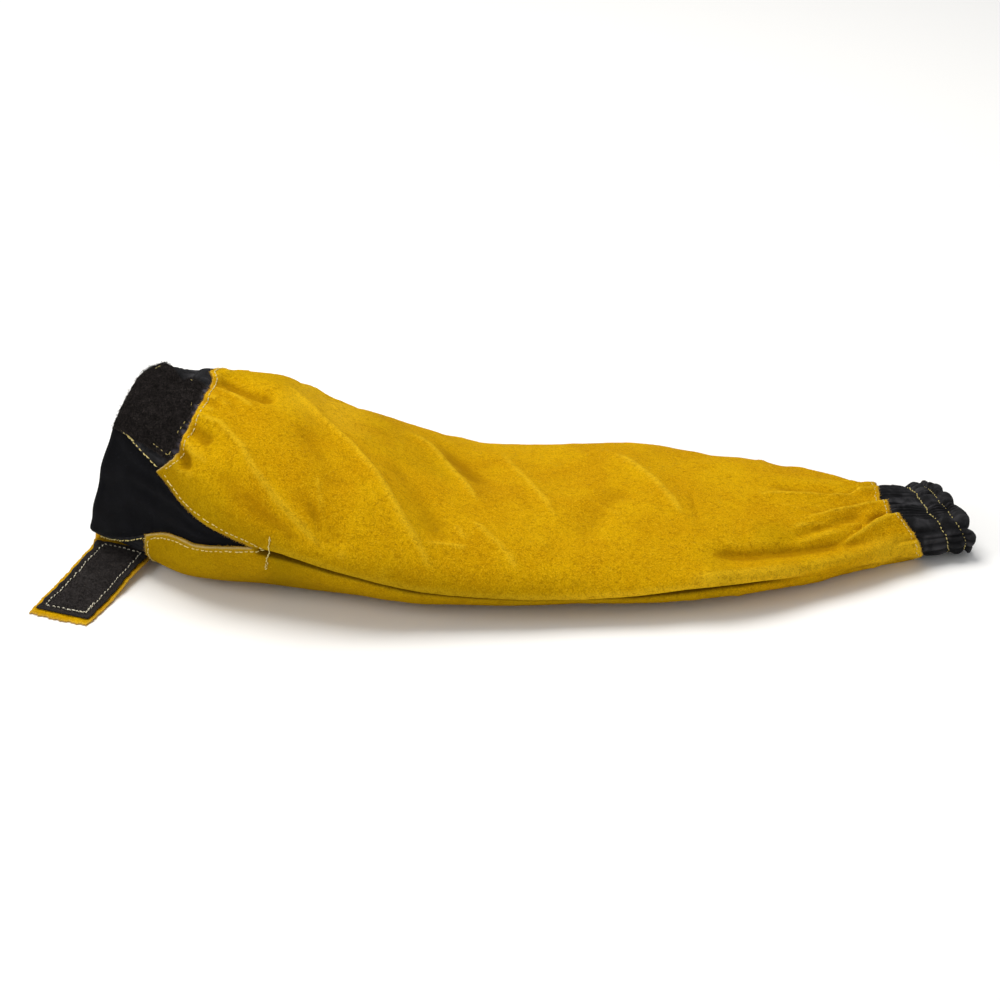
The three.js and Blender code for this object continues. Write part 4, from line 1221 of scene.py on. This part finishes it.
tape = {
    "from": 22.0, "to": 110.0, "halfWidth": 20.0, "shift": 0.4, "wall": 1.4, "rows": 130, "columns": 56,
    "stitchIn": 5.4, "rib": 0.1, "pitch": 1.55, "flare": 2.4, "hooks": 4200, "hookSpan": 18.6,
    "hookRadius": (0.07, 0.12), "hookArch": 0.62,
}


def strapWave(along, across):
    at = np.stack([along, across, np.zeros(along.shape)], -1)
    edge = np.abs(across / (strap["width"] / 2)) ** 3
    return 0.5 * cloud(at, 26, 91) + strap["curl"] * edge * (0.5 + cloud(at, 30, 92)) * smooth(along / 30)


def makeStrap():
    length, half = strap["length"], strap["width"] / 2
    alongShare, acrossShare = grid(strap["rows"], strap["columns"], -1)
    offMiddle = np.abs(acrossShare)
    flat = np.stack([alongShare * length, acrossShare * half, np.zeros(alongShare.shape)], -1)
    along = alongShare * length + strap["ragged"] * 1.6 * alongShare**8 * ripple(acrossShare / 2, (2, 5, 11), 93)
    across = acrossShare * (half + strap["ragged"] * cloud(flat, 5, 94) + 0.35 * cloud(flat, 1.8, 95))
    # cut askew and ragged at the root, with worn corners at the tip
    across = across - 8.0 * smooth((30 - along) / 30) * smooth(-acrossShare)
    across = across + 0.9 * cloud(flat, 3.5, 99) * smooth((26 - along) / 8)
    across = across * (1 - 0.06 * rising(offMiddle, 0.7, 0.3) * rising(alongShare, 0.93, 0.07))
    along = along * (1 - 0.012 * rising(offMiddle, 0.6, 0.4) * rising(alongShare, 0.8, 0.2))
    fromEdge = np.minimum((1 - offMiddle) * half, (1 - alongShare) * length)
    wave = strapWave(along, across) * smooth(alongShare / 0.15)
    fuzz = 0.15 * cloud(flat, 2.3, 96)
    top = onStrap(along, across, strap["wall"] + fuzz + wave - 0.55 * np.exp(-fromEdge / 0.6))
    low = onStrap(along[::2, ::2], across[::2, ::2], wave[::2, ::2])
    # darker towards the root by the band, in random patches; shade is painted shade where the strap runs under the
    # band
    soilAndShade = np.clip(0.95 * smooth((30 - along) / 14) + 0.35 * cloud(flat, 9, 97), 0, 1)
    painted = {name: np.zeros(soilAndShade.shape) for name in ("ridge", "soilAndShade")}
    painted["hollow"] = np.clip(0.5 * cloud(flat, 6, 98) + soilAndShade, 0, 1)
    painted["cut"] = 0.35 * np.exp(-fromEdge / 0.7)
    painted["shade"] = 0.5 * smooth((14 - along) / 12)
    sheetPiece("strapLeather", top, low, suede, slot="suede", replaced="strap", attributes=painted)


def onTape(along, across, height):
    raised = strap["wall"] + strap["clearance"] + tape["wall"] + height
    return onStrap(along, across + tape["shift"], raised + strapWave(along, across))


def tapeStitches(corners, count, height, seed, wander=0, **changed):
    points = np.concatenate([np.linspace(a, b, count) for a, b in zip(corners, corners[1:])])
    points[:, 1] += wander * ripple(np.linspace(0, 1, len(points)), (3, 7, 12), 104)
    up = np.tile([0, 0, 1.0], (len(points), 1))
    return stitchLine(onTape(points[:, 0], points[:, 1], height), up, seed, **changed)


def makeTape():
    length, half = tape["to"] - tape["from"], tape["halfWidth"]
    alongShare, acrossShare = grid(tape["rows"], tape["columns"], -1)
    flat = np.stack([alongShare * length, acrossShare * half, np.zeros(alongShare.shape)], -1)
    along = tape["from"] + length * alongShare
    wide = half + tape["flare"] * smooth((0.12 - alongShare) / 0.1)
    across = acrossShare * wide + 0.35 * ripple(alongShare, (2, 5, 9), 101) * np.abs(acrossShare)
    fromTip = (1 - alongShare) * length
    sewn = bell((np.minimum(wide - np.abs(across), fromTip) - tape["stitchIn"]) / 1.3)
    fromEdge = np.minimum((1 - np.abs(acrossShare)) * half, fromTip)
    rib = tape["rib"] * np.cos(along * 2 * math.pi / tape["pitch"])
    top = onTape(along, across, rib + 0.12 * cloud(flat, 4, 102) - 0.5 * sewn - 0.5 * np.exp(-fromEdge / 0.5))
    low = onTape(along[::2, ::2], across[::2, ::2], -tape["wall"])
    looks = {"slot": "hook_pile", "replaced": "hook_tape", "attributes": {"selvedge": np.exp(-fromEdge / 0.8)}}
    sheetPiece("hookTape", top, low, hookPile, **looks)
    rng = np.random.default_rng(103)
    count = tape["hooks"]
    along = tape["from"] + 2 + rng.random(count) * (length - 4)
    along = np.round(along / tape["pitch"]) * tape["pitch"] + rng.normal(0, 0.12, count)
    across = rng.uniform(-tape["hookSpan"], tape["hookSpan"], count)
    root = onTape(along, across, 0)
    tip = root + strapAlong * rng.normal(0.25, 0.25, (count, 1)) + strapAcross * rng.normal(0, 0.5, (count, 1))
    up, radius = np.tile([0, 0, 1.0], (count, 1)), rng.uniform(*tape["hookRadius"], count)
    hooks = strands(root, tip, up, radius, tape["hookArch"], 0.1, sides=3, rings=5)
    meshPiece("tapeHooks", *hooks, hookPile, slot="hook_pile", attributes={"selvedge": 0})
    # stitched rectangle, wandering a little, doubled at the tip's corner
    inside, far, near = half - tape["stitchIn"], tape["to"] - tape["stitchIn"], tape["from"] + 4
    loop = [(near, inside), (far, inside + 0.4), (far + 0.6, -inside), (near, -inside - 0.5), (near, inside)]
    tipRow = [(far - 14, inside - 1.2), (far + 1.4, inside + 1.3)]
    sideRow = [(far - 0.6, inside + 1), (far + 1.2, inside - 13)]
    lines = [tapeStitches(loop, 90, -0.1, 105, wander=0.45, pitch=3.6, share=0.72, radius=0.4)]
    for row, seed in ((tipRow, 106), (sideRow, 107)):
        lines.append(tapeStitches(row, 40, 0.1, seed, pitch=3.4, radius=0.38))
    meshPiece("tapeStitches", *joined(lines), whiteThread)


# Loose fibres along the cut edges of the split leather.
fibres = {
    "seed": 111, "count": 5200, "onWrist": 0.4, "onCuff": 0.7, "length": (0.25, 0.85), "radius": (0.05, 0.1),
    "spread": 0.45, "arch": 0.12, "cut": 0.2, "probe": 0.004,
}


def makeFibres():
    rng = np.random.default_rng(fibres["seed"])
    count, probed = fibres["count"], fibres["probe"]
    kind = rng.random(count)
    place, at, toV = np.zeros(count), np.zeros(count), np.zeros(count)
    wrist, gathered = kind < fibres["onWrist"], (kind >= fibres["onWrist"]) & (kind < fibres["onCuff"])
    sideways = ~(wrist | gathered)
    place[wrist] = rng.uniform(float(lowerEdge(0.08)), float(upperEdge(0.08)) + 1, wrist.sum())
    at[wrist] = wristEdgeAt(place[wrist]) + 0.0003
    place[gathered] = rng.random(gathered.sum())
    at[gathered] = cuffEdgeAt(place[gathered]) - 0.0003
    at[sideways] = rng.uniform(0.082, vPoint, sideways.sum())
    upper = rng.random(sideways.sum()) < 0.5
    place[sideways] = np.where(upper, upperEdge(at[sideways]), lowerLeather(at[sideways]))
    toV[sideways] = np.where(upper, 1, -1)
    toEnd = np.where(wrist, -1, np.where(gathered, 1, 0))
    onward, back = (lookUp(tablePoints, np.clip(at + step, 0, 1), place) for step in (probed, -probed))
    over, before = (lookUp(tablePoints, at, place + step) for step in (probed, -probed))
    away = unit(onward - back) * toEnd[:, None] + unit(over - before) * toV[:, None]
    out = outwardAt(at, place)
    side = np.where(toV != 0, -toV, np.sign(roundGap(place, seamOf(at))))
    root = onSkin(at, place, rng.uniform(-1.4, 0, count), side)
    reach = rng.uniform(*fibres["length"], (count, 1))
    tip = root + (away + rng.normal(0, fibres["spread"], (count, 3)) + 0.15 * out) * reach
    hairs = strands(root, tip, out, rng.uniform(*fibres["radius"], count), fibres["arch"], 0.0, sides=3, rings=4)
    painted = {"hollow": 0, "ridge": 0, "cut": fibres["cut"], "soilAndShade": 0, "shade": 0}
    meshPiece("suedeFibres", *hairs, suede, slot="suede", attributes=painted)


makers = {
    "leather": makeLeather, "cuff": makeCuff, "wrist band": makeBand, "gusset": makeGusset,
    "loop patch": makePatch, "strap": makeStrap, "hook tape": makeTape, "stitches": makeStitches,
    "fibres": makeFibres,
}
for name, make in makers.items():
    make()
    print(name, "made")


# Floor, light and camera
studio = {
    "floor": {"Base Color": paint("f4f3f1"), "Roughness": 0.8, "Specular IOR Level": 0.2}, "floorHalf": 8,
    "world": (0.96, 0.98, 1.0, 1), "worldStrength": 0.44, "sensor": 36,
    "camera": (-0.006, -1.7659, 0.9789), "lookAt": (-0.006, 0.0, 0.04), "lens": 104.4,
    "lights": (  # name, place, aim, size, power and colour
        ("topLight", (-0.5, 0.5, 2.1), (0, 0, 0), 1.6, 45, (1, 0.985, 0.96)),
        ("sideLight", (-1.9, -0.9, 1.2), (0, 0, 0.03), 1.2, 13, (1, 1, 1)),
        ("frontFill", (0.9, -2.2, 0.9), (0, 0, 0.03), 1.6, 6, (0.97, 0.98, 1)),
    ),
}


def aimed(thing, place, aim):
    thing.location = place
    thing.rotation_euler = (Vector(aim) - Vector(place)).to_track_quat("-Z", "Y").to_euler()
    bpy.context.scene.collection.objects.link(thing)
    return thing


def makeStudio():
    mesh, half = bpy.data.meshes.new("floor"), studio["floorHalf"]
    mesh.from_pydata([(-half, -half, 0), (half, -half, 0), (half, half, 0), (-half, half, 0)], [], [(0, 1, 2, 3)])
    floor = bpy.data.objects.new("floor", mesh)
    bpy.context.scene.collection.objects.link(floor)
    mesh.materials.append(Finish("floorPaint", studio["floor"]).material)
    world = bpy.data.worlds.new("studio")
    world.use_nodes = True
    background = world.node_tree.nodes["Background"].inputs
    background[0].default_value, background[1].default_value = studio["world"], studio["worldStrength"]
    bpy.context.scene.world = world
    for name, place, aim, size, power, color in studio["lights"]:
        data = bpy.data.lights.new(name, "AREA")
        data.shape, data.size, data.energy, data.color = "DISK", size, power, color
        aimed(bpy.data.objects.new(name, data), place, aim)
    data = bpy.data.cameras.new("camera")
    data.lens, data.sensor_width = studio["lens"], studio["sensor"]
    camera = aimed(bpy.data.objects.new("camera", data), studio["camera"], studio["lookAt"])
    bpy.context.scene.camera = camera
    bpy.context.scene.view_settings.view_transform = "Standard"


makeStudio()
print("studio set")
